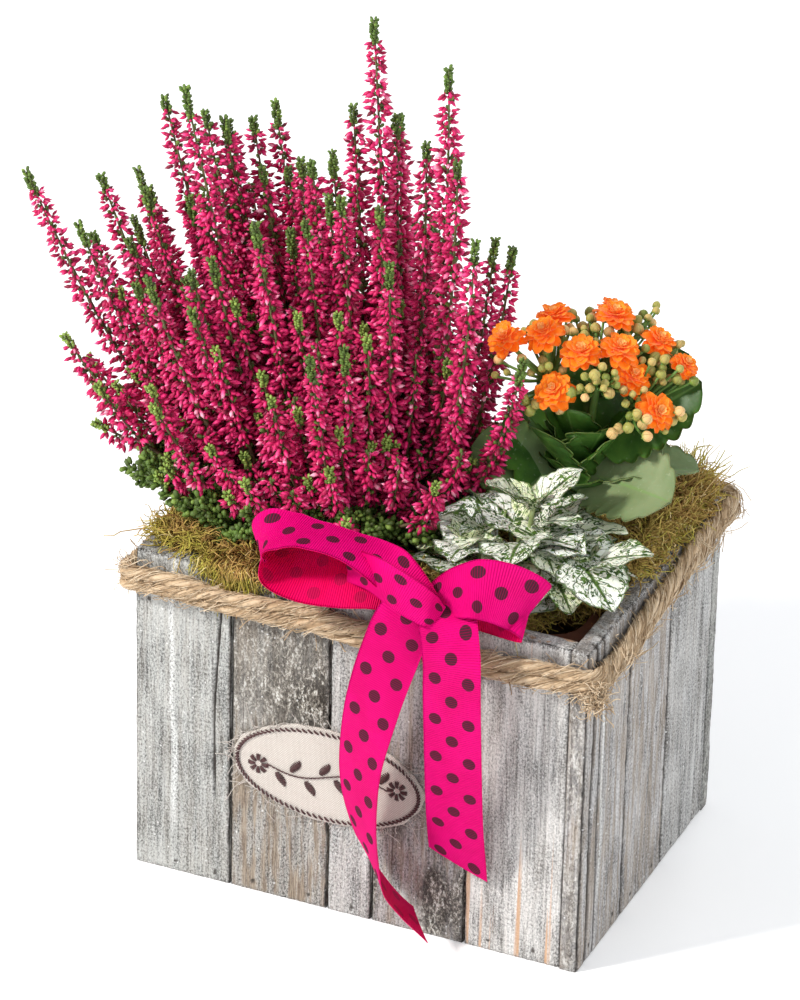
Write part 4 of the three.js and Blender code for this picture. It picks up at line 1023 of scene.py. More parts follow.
LEFT_LOOP = [
    (35, -84, 164, -0.14, -0.35, 0.93, 14), (24, -85.5, 172, -0.35, 0.1, 0.85, 17),
    (13, -86.5, 178, -0.55, 0.55, 0.45, 21), (1, -87.5, 182, -0.62, 0.75, 0.12, 24),
    (-12, -88.5, 184, -0.62, 0.78, 0, 25), (-25, -88.5, 183, -0.62, 0.78, 0, 25),
    (-35, -88, 179.5, -0.62, 0.78, 0.03, 25), (-38.5, -87.5, 173.5, -0.6, 0.78, 0.15, 25),
    (-34, -87, 167, -0.56, 0.74, 0.32, 25), (-20, -86.5, 164, -0.5, 0.7, 0.48, 25),
    (-4, -85.5, 165, -0.46, 0.68, 0.55, 25), (9, -84, 166, -0.4, 0.5, 0.72, 22),
    (22, -82, 164, -0.25, 0.2, 0.9, 18), (35, -80, 160, -0.14, -0.35, 0.93, 14),
]
FOLD = [
    (-1, -84, 171, -0.2, 0.3, 0.9, 13), (9, -89.5, 174, -0.2, 0.15, 0.9, 16),
    (19, -94.5, 174.5, -0.15, 0.1, 0.95, 18), (30, -96.5, 171, -0.1, 0.1, 0.95, 17),
    (37.5, -94.5, 166, -0.1, 0, 1, 14), (41, -90, 161, -0.1, -0.1, 1, 10),
]
RIGHT_LOOP = [
    (38, -83.5, 165, -0.3, 0.2, -0.93, 14), (46, -86, 171, -0.32, -0.15, -0.9, 20),
    (57, -87, 176, -0.35, -0.45, -0.8, 24), (67, -84, 174.5, -0.35, -0.59, -0.73, 25),
    (75, -78.5, 168, -0.35, -0.59, -0.73, 25), (74, -76.5, 164.5, -0.35, -0.59, -0.73, 25),
    (63, -77.5, 164.5, -0.35, -0.5, -0.77, 24), (50, -79.5, 162, -0.33, -0.1, -0.9, 18),
    (38, -80, 160, -0.3, 0.2, -0.93, 14),
]
RIBBON_BANDS = {  # stations, outer side, how it is held, slant of the end, first length, waves
    "bow_left_loop": (LEFT_LOOP, -1, "folded", 0, 6, 0.8),
    "bow_right_loop": (RIGHT_LOOP, -1, "folded", 0, 2, 0.6),
    "bow_right_tail": (RIGHT_TAIL, 1, "hung", 6, 9, 0.5),
    "bow_left_tail": (LEFT_TAIL, 1, "hung", 6, 3, 0.4),
    "bow_fold": (FOLD, 1, "folded", 0, 13, 0.3),
}
KNOT_AT, KNOT_SIZE = (37, -81.2, 154.6), np.array([10.5, 6.2, 10.5])
KNOT_ROWS, KNOT_SIDES = 61, 64
RIB, DOT_REPEAT, DOT_SIDE = 0.92, 19.0, 7.2


def ribbon_shader():
    """Ribbed pink ribbon with dark dots: one in the middle, then a pair, and so on."""
    s = Shader("grosgrain", Roughness=0.6, Specular_IOR_Level=0.07)
    along, across, outer = s.value("along"), s.value("across"), s.value("outer")
    ribs = (along * (TAU / RIB)).sine()
    cell = (along / DOT_REPEAT).math("FRACT") * DOT_REPEAT - DOT_REPEAT / 4
    pair, single = abs(across) - DOT_SIDE, cell - DOT_REPEAT / 2
    to_pair, to_single = ((x * x + y * y).math("POWER", 0.5)
                          for x, y in ((cell, pair), (single, across)))
    dot = to_pair.math("MINIMUM", to_single).between(2.6, 2.8, 1, 0)
    cloth = s.noise(s.where(), 70.0, 3).between(0.3, 0.7)
    front = cloth.blend((0.78, 0.0, 0.170), (0.88, 0.001, 0.210))
    behind = cloth.blend((0.84, 0.0, 0.085), (0.90, 0.002, 0.125))
    # The ink is lighter on the ridges of the ribs and the ribbon darker in their grooves: painted
    # highlight and painted shade on the weave.
    ink = ribs.between(-0.6, 0.8).blend((0.026, 0.010, 0.016), (0.050, 0.020, 0.032))
    colour = (dot * outer.between(0, 1, 0.35, 0.97)).blend(outer.blend(behind, front), ink)
    colour = ribs.between(-1.0, 0.0, 0.42, 0).blend(colour, (0.50, 0.0, 0.09))
    s.set(Base_Color=colour)
    s.let_light_through(colour, 0.12)
    return s.bump(ribs + abs(across).between(11.9, 12.3), 0.00022, 0.9)


def ribbon_band(name, material, stations, outer_sign, held, slant, start, waves):
    """One length of ribbon swept through its stations, cupped, and pleated near the knot."""
    t = np.linspace(0, 1, RIBBON_STATIONS)
    c = np.linspace(-0.5, 0.5, RIBBON_COLUMNS)
    centre = catmull([p[:3] for p in stations], t)
    side = unit(catmull([p[3:6] for p in stations], t))
    width = catmull([(p[6], 0, 0) for p in stations], t)[:, 0]
    tangent = unit(np.gradient(centre, axis=0))
    side = unit(side - tangent * np.einsum("ij,ij->i", side, tangent)[:, None])
    face = np.cross(tangent, side)
    run = run_along(centre)
    pleat = waves * np.exp(-run / 9)[:, None] * np.cos(c * 16)[None]
    cup = 0.35 * (1 - (2 * c) ** 2)[None] * np.ones((len(t), 1))
    skew = slant * np.clip((t - 0.8) / 0.2, 0, 1)
    middle = (centre[:, None] + side[:, None] * (width[:, None] * c[None])[..., None]
              + tangent[:, None] * (skew[:, None] * 2 * c[None])[..., None]
              + face[:, None] * (pleat + cup * outer_sign)[..., None])
    normal = np.cross(np.gradient(middle, axis=0), np.gradient(middle, axis=1))
    normal = unit(normal) * RIBBON_SHEET / 2
    points, faces = closed_sheet(middle + normal, middle - normal)
    piece = build(name, points, faces, material, "ribbon", ("ribbon_bow",),
                  along=np.tile(np.repeat(run + start, len(c)), 2),
                  across=np.tile(c * RIBBON_WIDTH, 2 * len(t)),
                  outer=np.repeat([1.0, 0.0] if outer_sign > 0 else [0.0, 1.0], len(points) // 2))
    area = np.sum(np.diff(run) * (width[1:] + width[:-1]) / 2.0)


def add_ribbon():
    material = ribbon_shader()
    for name, band in RIBBON_BANDS.items():
        ribbon_band(name, material, *band)
    phi = np.linspace(0, math.pi, KNOT_ROWS)[:, None]
    theta = np.linspace(0, TAU, KNOT_SIDES, endpoint=False)[None]
    fold = 0.5 + 0.5 * np.sin(5 * phi + 1.2 * np.sin(theta) + 2.1)
    wide = 1 + 0.10 * (fold - 0.5)
    body = np.stack([np.sin(theta) * np.sin(phi) ** 0.72 * wide,
                     -np.cos(theta) * np.sin(phi) ** 0.72 * wide,
                     np.cos(phi) * np.ones_like(theta)], -1) * KNOT_SIZE + KNOT_AT
    build("bow_knot", body.reshape(-1, 3), [ring_quads(KNOT_ROWS, KNOT_SIDES).reshape(-1, 4)],
          material, "ribbon", ("ribbon_bow",), along=(theta * 9.0 + 3.0 + 0 * phi).ravel(),
          across=((phi - math.pi / 2) * 8.0 + 0 * theta).ravel(),
          outer=np.full(KNOT_ROWS * KNOT_SIDES, 1.0))


# ---------------------------------------------------------------- patch

PATCH_X, PATCH_Z, PATCH_W, PATCH_H, PATCH_SHEET = -12.0, 65.0, 42.5, 22.0, 1.2
PATCH_BACK = -HALF_D - 0.35
PATCH_RINGS, PATCH_SIDES, PATCH_FRAYS = 26, 160, 150
WEAVE = TAU / 1.1
BORDER_STITCHES, BORDER_INSET, STITCH_TURN = 96, 1.9, 0.62


def linen_shader():
    s = Shader("linen", Roughness=0.9, Specular_IOR_Level=0.2, Sheen_Weight=0.2)
    cloth = s.vector("cloth")
    x, _, z = s.parts(cloth)
    warp, weft = (x * WEAVE).sine(), (z * WEAVE).sine()
    slub = s.stretched(cloth, (0.15, 1.0, 1.6), 3)
    thread = abs(warp) * 0.5 + abs(weft) * 0.5
    colour = (warp * weft).ramp((0.1, (0.56, 0.50, 0.44)), (0.9, (0.88, 0.84, 0.80)))
    colour = slub.between(0.5, 0.7, 0, 0.25).blend(colour, (0.52, 0.44, 0.38))
    # Dark brown between the threads: painted shade in the gaps of the weave.
    s.set(Base_Color=thread.between(0.0, 0.35, 0.7, 0).blend(colour, (0.26, 0.20, 0.16)))
    return s.bump(thread + slub * 0.4, 0.0003, 0.9)


def add_patch():
    """The oval patch with its frayed rim, a stitched border and an embroidered sprig."""
    angle = np.arange(PATCH_SIDES) * TAU / PATCH_SIDES
    radii = np.linspace(1, 0.0, PATCH_RINGS, endpoint=False)[::-1, None]
    ripple = 0.012 * np.sin(7 * angle + 1) + 0.008 * np.sin(17 * angle)
    px = PATCH_X + radii * (1 + ripple[None] * radii) * np.cos(angle) * PATCH_W
    pz = PATCH_Z + radii * (1 + ripple[None] * radii) * np.sin(angle) * PATCH_H
    place = np.column_stack([px.ravel(), 0 * px.ravel(), pz.ravel()])
    pucker = 0.28 * value_noise(place, 9, 3).reshape(px.shape) * np.clip((1 - radii) * 6, 0, 1)
    puff = 0.25 * np.clip((1 - radii) * 9, 0, 1)
    front, back = (np.stack([px, y, pz], -1).reshape(-1, 3) for y in
                   (PATCH_BACK - PATCH_SHEET + 0.35 - pucker - puff, np.full_like(px, PATCH_BACK)))
    n = px.size
    quads = ring_quads(PATCH_RINGS, PATCH_SIDES).reshape(-1, 4)[:, [0, 3, 2, 1]]
    edge = np.arange(n - PATCH_SIDES, n)
    ahead = np.roll(edge, -1)
    hub = np.arange(PATCH_SIDES)[None]
    heap = Heap()
    heap.add(np.vstack([front, back]),
             [quads, quads[:, ::-1] + n, np.stack([edge, ahead, ahead + n, edge + n], -1),
              hub[:, ::-1], hub + n], cloth=np.vstack([front, front]))
    rng = np.random.default_rng(3)
    a = rng.uniform(0, TAU, PATCH_FRAYS)
    start = np.column_stack([PATCH_X + PATCH_W * np.cos(a), 0 * a + (PATCH_BACK - 0.6),
                             PATCH_Z + PATCH_H * np.sin(a)])
    lean = np.column_stack([np.cos(a), rng.uniform(-0.5, 0.02, PATCH_FRAYS), np.sin(a) - 0.2])
    reach = rng.uniform(1.5, 6, PATCH_FRAYS) * rng.choice([1, 1, 1, 2.6], PATCH_FRAYS)
    threads = curls(rng, start, lean, reach, 0.22)
    threads[..., 1] = np.clip(threads[..., 1], PATCH_BACK - 3, PATCH_BACK - 0.1)
    points, faces = tubes(threads, 0.15, 4)
    heap.add(points, faces, cloth=points)
    piece = heap.build("linen_patch", linen_shader(), "linen", ("stitched_patch",))

    s = Shader("thread", Roughness=0.55, Specular_IOR_Level=0.4)
    shade = s.noise(s.where(), 900.0, 3)
    s.set(Base_Color=shade.ramp((0.3, (0.035, 0.012, 0.012)), (0.7, (0.10, 0.04, 0.04))))
    s.bump(shade, 0.0002)
    stitches = Heap()
    a = np.arange(BORDER_STITCHES) * TAU / BORDER_STITCHES
    centre = np.column_stack([PATCH_X + (PATCH_W - BORDER_INSET) * np.cos(a), 0 * a,
                              PATCH_Z + (PATCH_H - BORDER_INSET) * np.sin(a)])
    run = unit(np.column_stack([-PATCH_W * np.sin(a), 0 * a, PATCH_H * np.cos(a)]))
    outward = np.column_stack([run[:, 2], 0 * a, -run[:, 0]])
    slanted = unit(run * math.cos(STITCH_TURN) + outward * math.sin(STITCH_TURN))
    add_stitches(stitches, centre, slanted, 1.3, 0.42)
    add_sprig(stitches)
    stitches.build("embroidery", s.material, "linen")


def add_stitches(heap, centre, along, half, radius):
    share = np.linspace(-1, 1, 6)
    paths = centre[:, None] + along[:, None] * (half * share)[None, :, None]
    paths[..., 1] = PATCH_BACK - PATCH_SHEET - 0.2 - 0.45 * (1 - share**2)[None]
    heap.add(*tubes(paths, radius * np.array([0.6, 0.95, 1, 1, 0.95, 0.6]), 6))


def add_sprig(heap):
    """A plain embroidered sprig: a curved stem with leaves and a daisy at each end."""
    def satin(x1, z1, x2, z2):
        """One stitch on the patch, from its middle, between two places."""
        start, end = (np.array([PATCH_X + x, 0.0, PATCH_Z + z]) for x, z in ((x1, z1), (x2, z2)))
        half = np.linalg.norm((end - start)[None], axis=1)[0] / 2
        add_stitches(heap, ((start + end) / 2)[None], unit((end - start)[None]), half, 0.3)

    x = np.linspace(-27, 27, 30)
    z = 3.2 * np.sin(x / 9.0)
    for stitch in zip(x[:-1], z[:-1], x[1:], z[1:]):
        satin(*stitch)
    for k, place in enumerate(np.linspace(-23, 23, 8)):
        base = 3.2 * math.sin(place / 9.0)
        way = 1 if k % 2 else -1
        for step in np.linspace(0.12, 0.95, 9):
            wide = 1.9 * math.sin(math.pi * step) ** 0.8
            cx, cz = place + 4.2 * step, base + way * (1 + 6.5 * step)
            satin(cx - wide, cz + 0.3 * way, cx + wide, cz - 0.3 * way)
    for cx, cz in ((-31, -1.5), (31, 1.5)):
        for petal in range(8):
            for spread in (-0.16, 0, 0.16):
                c, d = (turn(petal * TAU / 8 + spread) for turn in (math.cos, math.sin))
                satin(cx + 1.4 * c, cz + 1.4 * d, cx + 4.6 * c, cz + 4.6 * d)


# ---------------------------------------------------------------- heather

# A spike stands at (u, v) in the round crown and reaches up to the share s of its height.
ROOT, CROWN, POWER, EASE = 27, 112, 0.36, 0.01
BASE_Z, HEIGHT, DROOP, LEAN, DEPTH_RATIO = 140, 230, 0.2, -34, 0.85
SPRAYS, DISC, FAN, BUD, SLIM = 12, 0.86, 0.18, 6.8, 0.085
FLOWERING, LOWEST, INNER, SPIN, SEED = 0.42, 0.16, 4, 240, 220
TIP, FILLERS, BARE, AHEAD = 7.5, 170, 0.05, 0.004
STEM_STEPS, KNOT_GAP, BUDS = 26, 0.92, 3
LOW_SHOOTS, FEATHERS = 26, 60
SPIKES = [(180, 0.9), (105, 0.76), (-105, 0.64), (38, 0.5), (-38, 0.36)]
LEADERS = [
    (-0.91, -0.1, 0.69), (-0.94, -0.35, 0.39), (-0.66, -0.35, 0.62), (-1.08, -0.45, 0.2),
    (-0.51, -0.1, 0.62), (0.79, 0.1, 0.66), (0.97, -0.2, 0.54), (0.77, -0.25, 0.76),
    (0.54, -1.0, 0.23), (-0.1, -1.0, 0.21), (0.85, -0.68, 0.32), (-0.22, -0.2, 0.84),
    (0.3, 0.12, 0.97), (0.6, -0.05, 1.0), (0.28, 0.37, 0.75), (-0.14, 0.3, 0.73),
    (-0.25, 0.1, 0.72), (-0.72, -0.84, 0.16), (-1.08, -0.1, 0.29),
]
UPRIGHTS = [
    (-0.47, 0.15, 0.75), (-0.29, 0.05, 0.74), (-0.28, 0.2, 0.70), (-0.21, 0.25, 0.70),
    (0.14, -0.1, 0.71), (0.20, 0.15, 0.78), (0.33, 0.2, 0.78), (0.49, 0.05, 0.79),
    (0.65, -0.1, 0.84), (-0.76, 0.1, 0.62), (-0.62, 0.15, 0.58), (0.28, -0.2, 0.69),
    (0.42, -0.2, 0.70), (-0.77, -0.1, 0.54),
]
FLORET = lathe([(0, 0), (0.17, 0.2), (0.2, 0.58), (0, 1)], 5)
SCALE = lathe([(0, 0), (0.23, 0.3), (0.27, 0.75), (0, 1)], 5)


def crown_width(s):
    low = EASE**POWER
    return ROOT + CROWN * ((np.maximum(s, 0) + EASE) ** POWER - low) / ((1 + EASE) ** POWER - low)


def heather_point(u, v, s):
    rise = HEIGHT * (1 - DROOP * np.minimum(1.2, u * u + v * v))
    width = crown_width(s)
    return np.stack([HEATHER_FOOT[0] + LEAN * s + u * width,
                     HEATHER_FOOT[1] + v * width * DEPTH_RATIO, BASE_Z + s * rise], -1)


def on_disc(k, count, reach, turn=0.0):
    """The k-th of count places spread evenly over a disc, with its radius and angle."""
    radius, angle = reach * math.sqrt((k + 0.5) / count), k * GOLDEN_ANGLE + turn
    return radius * math.cos(angle), radius * math.sin(angle), radius, angle


def heather_sprays():
    """The sprays of the crown: the place of each heart, and the place and reach of its spikes."""
    sprays = []
    for k in range(SPRAYS):
        cu, cv, radius, angle = on_disc(k, SPRAYS, DISC)
        full = 0.72 - 0.14 * radius * radius - 0.12 * abs(cv)
        spikes = [[cu, cv, full]]
        spin = SPIN * (draw(k, SEED) - 0.5)
        for m, (turn, share) in enumerate(SPIKES[:3] if k < INNER else SPIKES):
            way = angle + math.radians(turn + spin)
            reach = share * full + 0.08 * (draw(k, m + 9) - 0.5)
            spikes.append([cu + FAN * math.cos(way), cv + FAN * math.sin(way), max(LOWEST, reach)])
        sprays.append((cu, cv, spikes))
    free = [spike for spray in sprays for spike in spray[2]]
    for leader in LEADERS:
        nearest = min(free, key=lambda spike: math.dist(spike[:2], leader[:2]))
        free = [spike for spike in free if spike is not nearest]
        nearest[:] = leader
    return sprays


def heather_fillers(sprays):
    """Shorter spikes spread evenly through the crown, each given to the nearest spray."""
    spikes = []
    for n in range(FILLERS):
        u, v, radius, _ = on_disc(n, FILLERS, 0.99, 0.7)
        reach = (0.74 - 0.34 * radius * radius - 0.08 * abs(v)) * (0.42 + 0.53 * draw(n, 91))
        if u > 0.68 and v > -0.1:
            reach = min(reach, 0.26)
        spikes.append((u, v, max(0.13, reach), 0.2 + 0.14 * draw(n, 17)))
    spikes += [(*upright, 0.5) for upright in UPRIGHTS]
    fillers = [[] for _ in sprays]
    for spike in spikes:
        near = min(range(len(sprays)), key=lambda k: math.dist(sprays[k][:2], spike[:2]))
        fillers[near].append(spike)
    return fillers


def heather_shader():
    s = Shader("heather", Roughness=0.55, Specular_IOR_Level=0.4)
    tint, green = s.value("tint"), s.value("green")
    # The flower ramp holds painted light: its low end is painted deep shade, its top a pale pink
    # painted highlight, with the magentas of the florets between.
    bloom = tint.ramp((0.0, (0.14, 0.010, 0.026)), (0.3, (0.42, 0.004, 0.070)),
                      (0.6, (0.68, 0.010, 0.135)), (0.82, (0.82, 0.07, 0.25)),
                      (1.0, (0.95, 0.50, 0.60)))
    foliage = tint.ramp((0.0, (0.035, 0.045, 0.010)), (0.5, (0.095, 0.17, 0.025)),
                        (1.0, (0.29, 0.42, 0.08)))
    wood = tint.ramp((0.0, (0.09, 0.05, 0.03)), (1.0, (0.22, 0.15, 0.09)))
    colour = green.between(0.0, 0.5).blend(bloom, foliage)
    colour = green.between(0.5, 1.0).blend(colour, wood)
    # Fine pale pink flecks over the florets are painted highlights.
    painted_glint = s.noise(s.where(), 1500.0, 2).between(0.55, 0.75, 0, 0.35)
    s.set(Base_Color=painted_glint.blend(colour, (0.9, 0.55, 0.62), "SOFT_LIGHT"))
    return s.bump(s.noise(s.where(), 1200.0, 2), 0.0001, 0.5)


def thin_stem(heap, path, start, end, sides, tint, green):
    heap.add(*tubes(path[None], np.linspace(start, end, len(path))[None], sides), tint=tint,
             green=green)


def radial_at(tangent, angle):
    """Directions square to tangents, turned round them by angle."""
    side = unit(np.cross(tangent, [0.08, 1.0, 0.05]))
    other = np.cross(side, tangent)
    return side * np.cos(angle)[:, None] + other * np.sin(angle)[:, None]


def spike_girth(share, s):
    taper = 1 - 0.62 * smooth((share - 0.6) / 0.4)
    return np.minimum(BUD, SLIM * crown_width(s)) * (0.5 + 0.5 * smooth(share / 0.25)) * taper


def spray_path(cu, cv, u, v):
    """The way of a spike from the heart of its spray to its own place, as a function of s."""
    def path_at(s):
        away = smooth(np.asarray(s) / 0.22)
        return heather_point(mix(cu, u, away), mix(cv, v, away), np.asarray(s, float))
    return path_at


def dress_spike(heap, rng, path_at, reach, first, tip, fresh):
    """One flowering spike: a stem, buds in clusters that hang outwards, and a green leafy tip."""
    s = np.linspace(BARE, reach + 0.01, STEM_STEPS)
    stem = path_at(s)
    thin_stem(heap, stem, 1.1, 0.4, 5, np.repeat(rng.uniform(0.1, 0.6, STEM_STEPS), 5),
              np.repeat(np.linspace(1, 0.7, STEM_STEPS), 5))
    run = run_along(stem)

    def on_stem(runs):
        """Points at lengths along the stem, its directions there and their shares s."""
        at_s = np.interp(runs, run, s)
        at = path_at(at_s)
        return at, unit(path_at(at_s + AHEAD) - at), at_s

    from_run, to_run = np.interp(first, s, run), run[-1]
    bloom_run = to_run - tip
    knots = np.arange(from_run, bloom_run, KNOT_GAP)
    kept = knots[rng.random(len(knots)) < 0.93]
    knots = kept + rng.uniform(-0.5, 0.5, len(knots))[:1]
    place = np.repeat(knots, BUDS) + rng.uniform(-0.5, 0.5, len(knots) * BUDS)
    share = np.clip((place - from_run) / (to_run - from_run), 0, 1)
    at, tangent, at_s = on_stem(place)
    angle = np.repeat(np.arange(len(knots)) * GOLDEN_ANGLE, BUDS) + rng.normal(0, 0.45, len(place))
    radial = radial_at(tangent, angle)
    size = spike_girth(share, at_s) / BUD
    pitch = rng.uniform(-0.75, 0.7, len(place))
    direction = unit(radial + tangent * pitch[:, None] + (0, 0, -0.12))
    out = (0.7 + 2.7 * size * rng.random(len(place)))[:, None]
    length = rng.uniform(3.4, 4.9, len(place)) * (0.7 + 0.33 * size)
    florets = scatter(*FLORET, at + radial * out, frames_along(direction, length, angle))
    # Each floret gets a random place on the flower ramp, so some are painted in shade and some in
    # highlight. Its base is painted darker as shade where it sits against the stem. The tips of
    # some are pale pink painted highlight, and the tips of others are dark.
    painted_light = np.clip(rng.normal(0.50, 0.2, len(place)), 0, 0.97)
    tone = np.repeat(painted_light[:, None], len(FLORET[0]), 1)
    tone[:, 0] -= 0.3
    tone[:, 1:6] -= 0.12
    tipped = rng.random(len(place))
    tone[:, -1] += np.where(tipped < 0.42, 0.5, np.where(tipped > 0.78, -0.45, 0))
    heap.add(*florets, tint=np.clip(tone, 0, 1).ravel(), green=0.0)
    if tip > 1:
        rows = np.repeat(np.linspace(bloom_run - 2, to_run, int(2 + tip)), 4)
        add_scales(heap, rng, *on_stem(rows)[:2], 2.3, 1.25, fresh)
    low = np.arange(from_run - 24, bloom_run, 2.2)
    add_scales(heap, rng, *on_stem(low)[:2], 3.0, 1.0, 0.3)


def add_scales(heap, rng, at, tangent, length, spread, tone):
    """Small leaf scales that stand out from a shoot."""
    count = len(at)
    order = np.arange(count)
    angle = order * math.pi / 2 + 0.4 * order // 4 + rng.uniform(0, 0.4, count)
    radial = radial_at(tangent, angle)
    size = length * rng.uniform(0.75, 1.25, count)
    frames = frames_along(unit(radial * spread + tangent), size, angle)
    tint = np.clip(rng.normal(tone, 0.16, count), 0, 1)
    heap.add(*scatter(*SCALE, at + 0.3 * radial, frames), tint=np.repeat(tint, len(SCALE[0])),
             green=0.5)


def leafy_shoot(heap, rng, shoot, power, stray, first, dense, spread, *scales):
    """A thin shoot without flowers, bent at random, and its leaf scales from a first step on."""
    bend = np.linspace(0, 1, len(shoot)) ** power
    shoot = shoot + np.outer(bend, rng.normal(size=3) * stray)
    thin_stem(heap, shoot, 0.7, 0.3, 4, 0.4, 0.75)
    at = np.repeat(shoot[first:], dense, axis=0)
    at = at + rng.normal(size=at.shape) * spread
    way = np.repeat(unit(np.gradient(shoot, axis=0))[first:], dense, axis=0)
    add_scales(heap, rng, at, way, *scales)


def add_low_shoots(heap, rng, cu, cv):
    """Short green shoots round the heart of a spray, then feathers at the front and left."""
    far = math.hypot(cu, cv)
    for n in range(LOW_SHOOTS):
        angle = rng.uniform(0, TAU)
        stray = 0.2 if n % 2 else 0.34
        top = rng.uniform(0.07, 0.13 + 0.11 * (1 - far))
        path_at = spray_path(cu, cv, cu + stray * math.cos(angle), cv + stray * math.sin(angle))
        leafy_shoot(heap, rng, path_at(np.linspace(0.0, top, 26)), 1.5, (5, 5, 3), 0, 3, 0.5,
                    3.6, 0.9, 0.55)
    if cv > 0.35 or cu > 0.55 or far < 0.3:
        return
    for _ in range(FEATHERS):
        angle = math.atan2(min(cv, -0.25), cu) + rng.normal(0, 0.36)
        radius = rng.uniform(0.7, 1.24) * (1 - 0.14 * max(0.0, -math.cos(angle)))
        u, v = radius * math.cos(angle), 0.95 * radius * math.sin(angle)
        s = np.linspace(0.0, rng.uniform(0.06, 0.17), 22)
        out = smooth(s / s[-1])
        shoot = heather_point(mix(0.5 * cu, u, out), mix(0.5 * cv, v, out), s)
        leafy_shoot(heap, rng, shoot, 2, (4, 4, 3), 5, 5, 0.6, 3.8, 1.0, 0.42)


def add_heather():
    material = heather_shader()
    sprays = heather_sprays()
    for k, ((cu, cv, spikes), fillers) in enumerate(zip(sprays, heather_fillers(sprays))):
        rng = np.random.default_rng(300 + k)
        heap = Heap()
        low, middle, high = (heather_point(cu, cv, np.array(s)) for s in (0.0, 0.06, 0.12))
        foot = low - (0, 0, low[2] - soil_height(low[0], low[1]) + 8)
        heap.add(*tubes(np.array([[foot, low, middle, high]]), np.array([[2.3, 2.2, 1.9, 1.4]]), 8),
                 tint=0.3, green=1.0)
        for u, v, reach in spikes:
            high = reach > 0.45
            first = reach - 1.3 * FLOWERING if high else max(0.55 * reach, reach - FLOWERING)
            if reach < 0.45 and u < -0.15 and v < 0:
                first = min(max(first, 0.16), reach - 0.035)
            dress_spike(heap, rng, spray_path(cu, cv, u, v), reach, max(BARE, first),
                        TIP + 3.5 * rng.random() if high else 4, 0.45 if high else 0.85)
        for u, v, reach, bloom in fillers:
            far = math.hypot(u, v)
            tip = (0.0, 0.0, 3.0, 5.0)[int(rng.integers(4))] if reach < 0.5 else 5.0
            first = max(0.6 * reach if far > 0.8 else BARE, reach - bloom)
            if v < 0.2 and u < 0.3 and far > 0.6:
                first = min(max(first, 0.19), reach - 0.05)
            dress_spike(heap, rng, spray_path(cu, cv, u, v), reach, first, tip,
                        0.8 if reach < 0.5 else 0.4)
        add_low_shoots(heap, rng, cu, cv)
        heap.build(f"heather_{k + 1:02d}", material, "heather", (f"heather_spray_{k + 1:02d}",))


# ---------------------------------------------------------------- kalanchoe

BLADE, STEM, CLOSED_BUD = 0.0, 0.5, 1.0
KALANCHOE_TOP, KALANCHOE_HEART, KALANCHOE_CROWN_LEAVES = 182, (62, 14, 205), 9
KALANCHOE_LEAVES = [  # compass, height, length, width, rise, roll
    (-26, 181, 48, 38, 14, 34), (14, 178, 48, 30, 20, 0), (36, 184, 62, 36, 52, 40),
    (207, 172, 48, 34, 27, -55), (232, 170, 46, 28, 66, 0), (-80, 172, 30, 22, 42, 0),
    (-50, 184, 34, 24, 60, 0), (86, 166, 52, 34, 28, 0), (142, 174, 48, 30, 40, 0),
    (195, 163, 50, 32, 57, -55), (262, 184, 34, 24, 76, 0), (300, 180, 32, 24, 68, 20),
    (10, 189, 58, 32, 42, 62), (338, 184, 34, 26, 58, 30), (170, 186, 40, 28, 66, 0),
    (110, 184, 44, 30, 62, 0), (60, 178, 46, 28, 44, 20),
]
SAGE_LEAVES = {0: 1.0, 1: 0.8, 3: 0.42, 7: 0.35}
BUD_CLUSTERS = [  # place, number of buds
    (29, -3, 228, 3), (46, 0, 231, 7), (50, 14, 239, 7), (52, 22, 240, 3), (55, 28, 239, 4),
    (70, 34, 241, 7), (72, -2, 234, 11), (65, -4, 226, 5), (49, -4, 219, 12), (85, 20, 233, 8),
    (91, 22, 229, 12), (77, 2, 227, 4), (80, 4, 221, 4), (89, 1, 218, 9), (96, 8, 218, 7),
    (82, 0, 213, 3), (72, 44, 236, 8), (50, 36, 236, 8), (40, 12, 237, 6), (86, 38, 231, 7),
    (60, 20, 238, 7),
]
BUD_PROFILE = [(0, 0), (0.30, 0.02), (0.50, 0.2), (0.56, 0.48), (0.47, 0.78), (0.24, 1.0),
               (0, 1.1)]
BUD_SIDES, BUD_RADIUS, SEPALS = 24, 0.56, 4
KALANCHOE_HUBS = np.array([(46, 8, 222), (64, 16, 222), (80, 18, 212)], float)
BLOOMS = [  # place, radius
    (31, -4, 243, 7.5), (45, 2, 246, 7.6), (42, 21, 244, 7.2), (61, 4, 240, 7.8),
    (74, 13, 240, 7.8), (54, -7, 226, 7.6), (61, 38, 243, 7.2), (66, 27, 247, 7.4),
    (80, 12, 229, 7.6), (94, 5, 220, 7.8), (84, 30, 238, 7.0), (97, 26, 232, 5.6),
]
PETAL_LAYERS = [  # petals, share of the length, rise, tone
    (10, 1.0, -6, 0.0), (9, 0.93, 14, 0.2), (9, 0.78, 33, 0.35), (8, 0.6, 50, 0.6),
    (6, 0.4, 66, 0.85), (4, 0.24, 80, 1.0),
]
# The blooms glow faintly orange: painted light that makes them brighter than the lamps alone would.
BLOOM_PAINTED_GLOW = 0.13


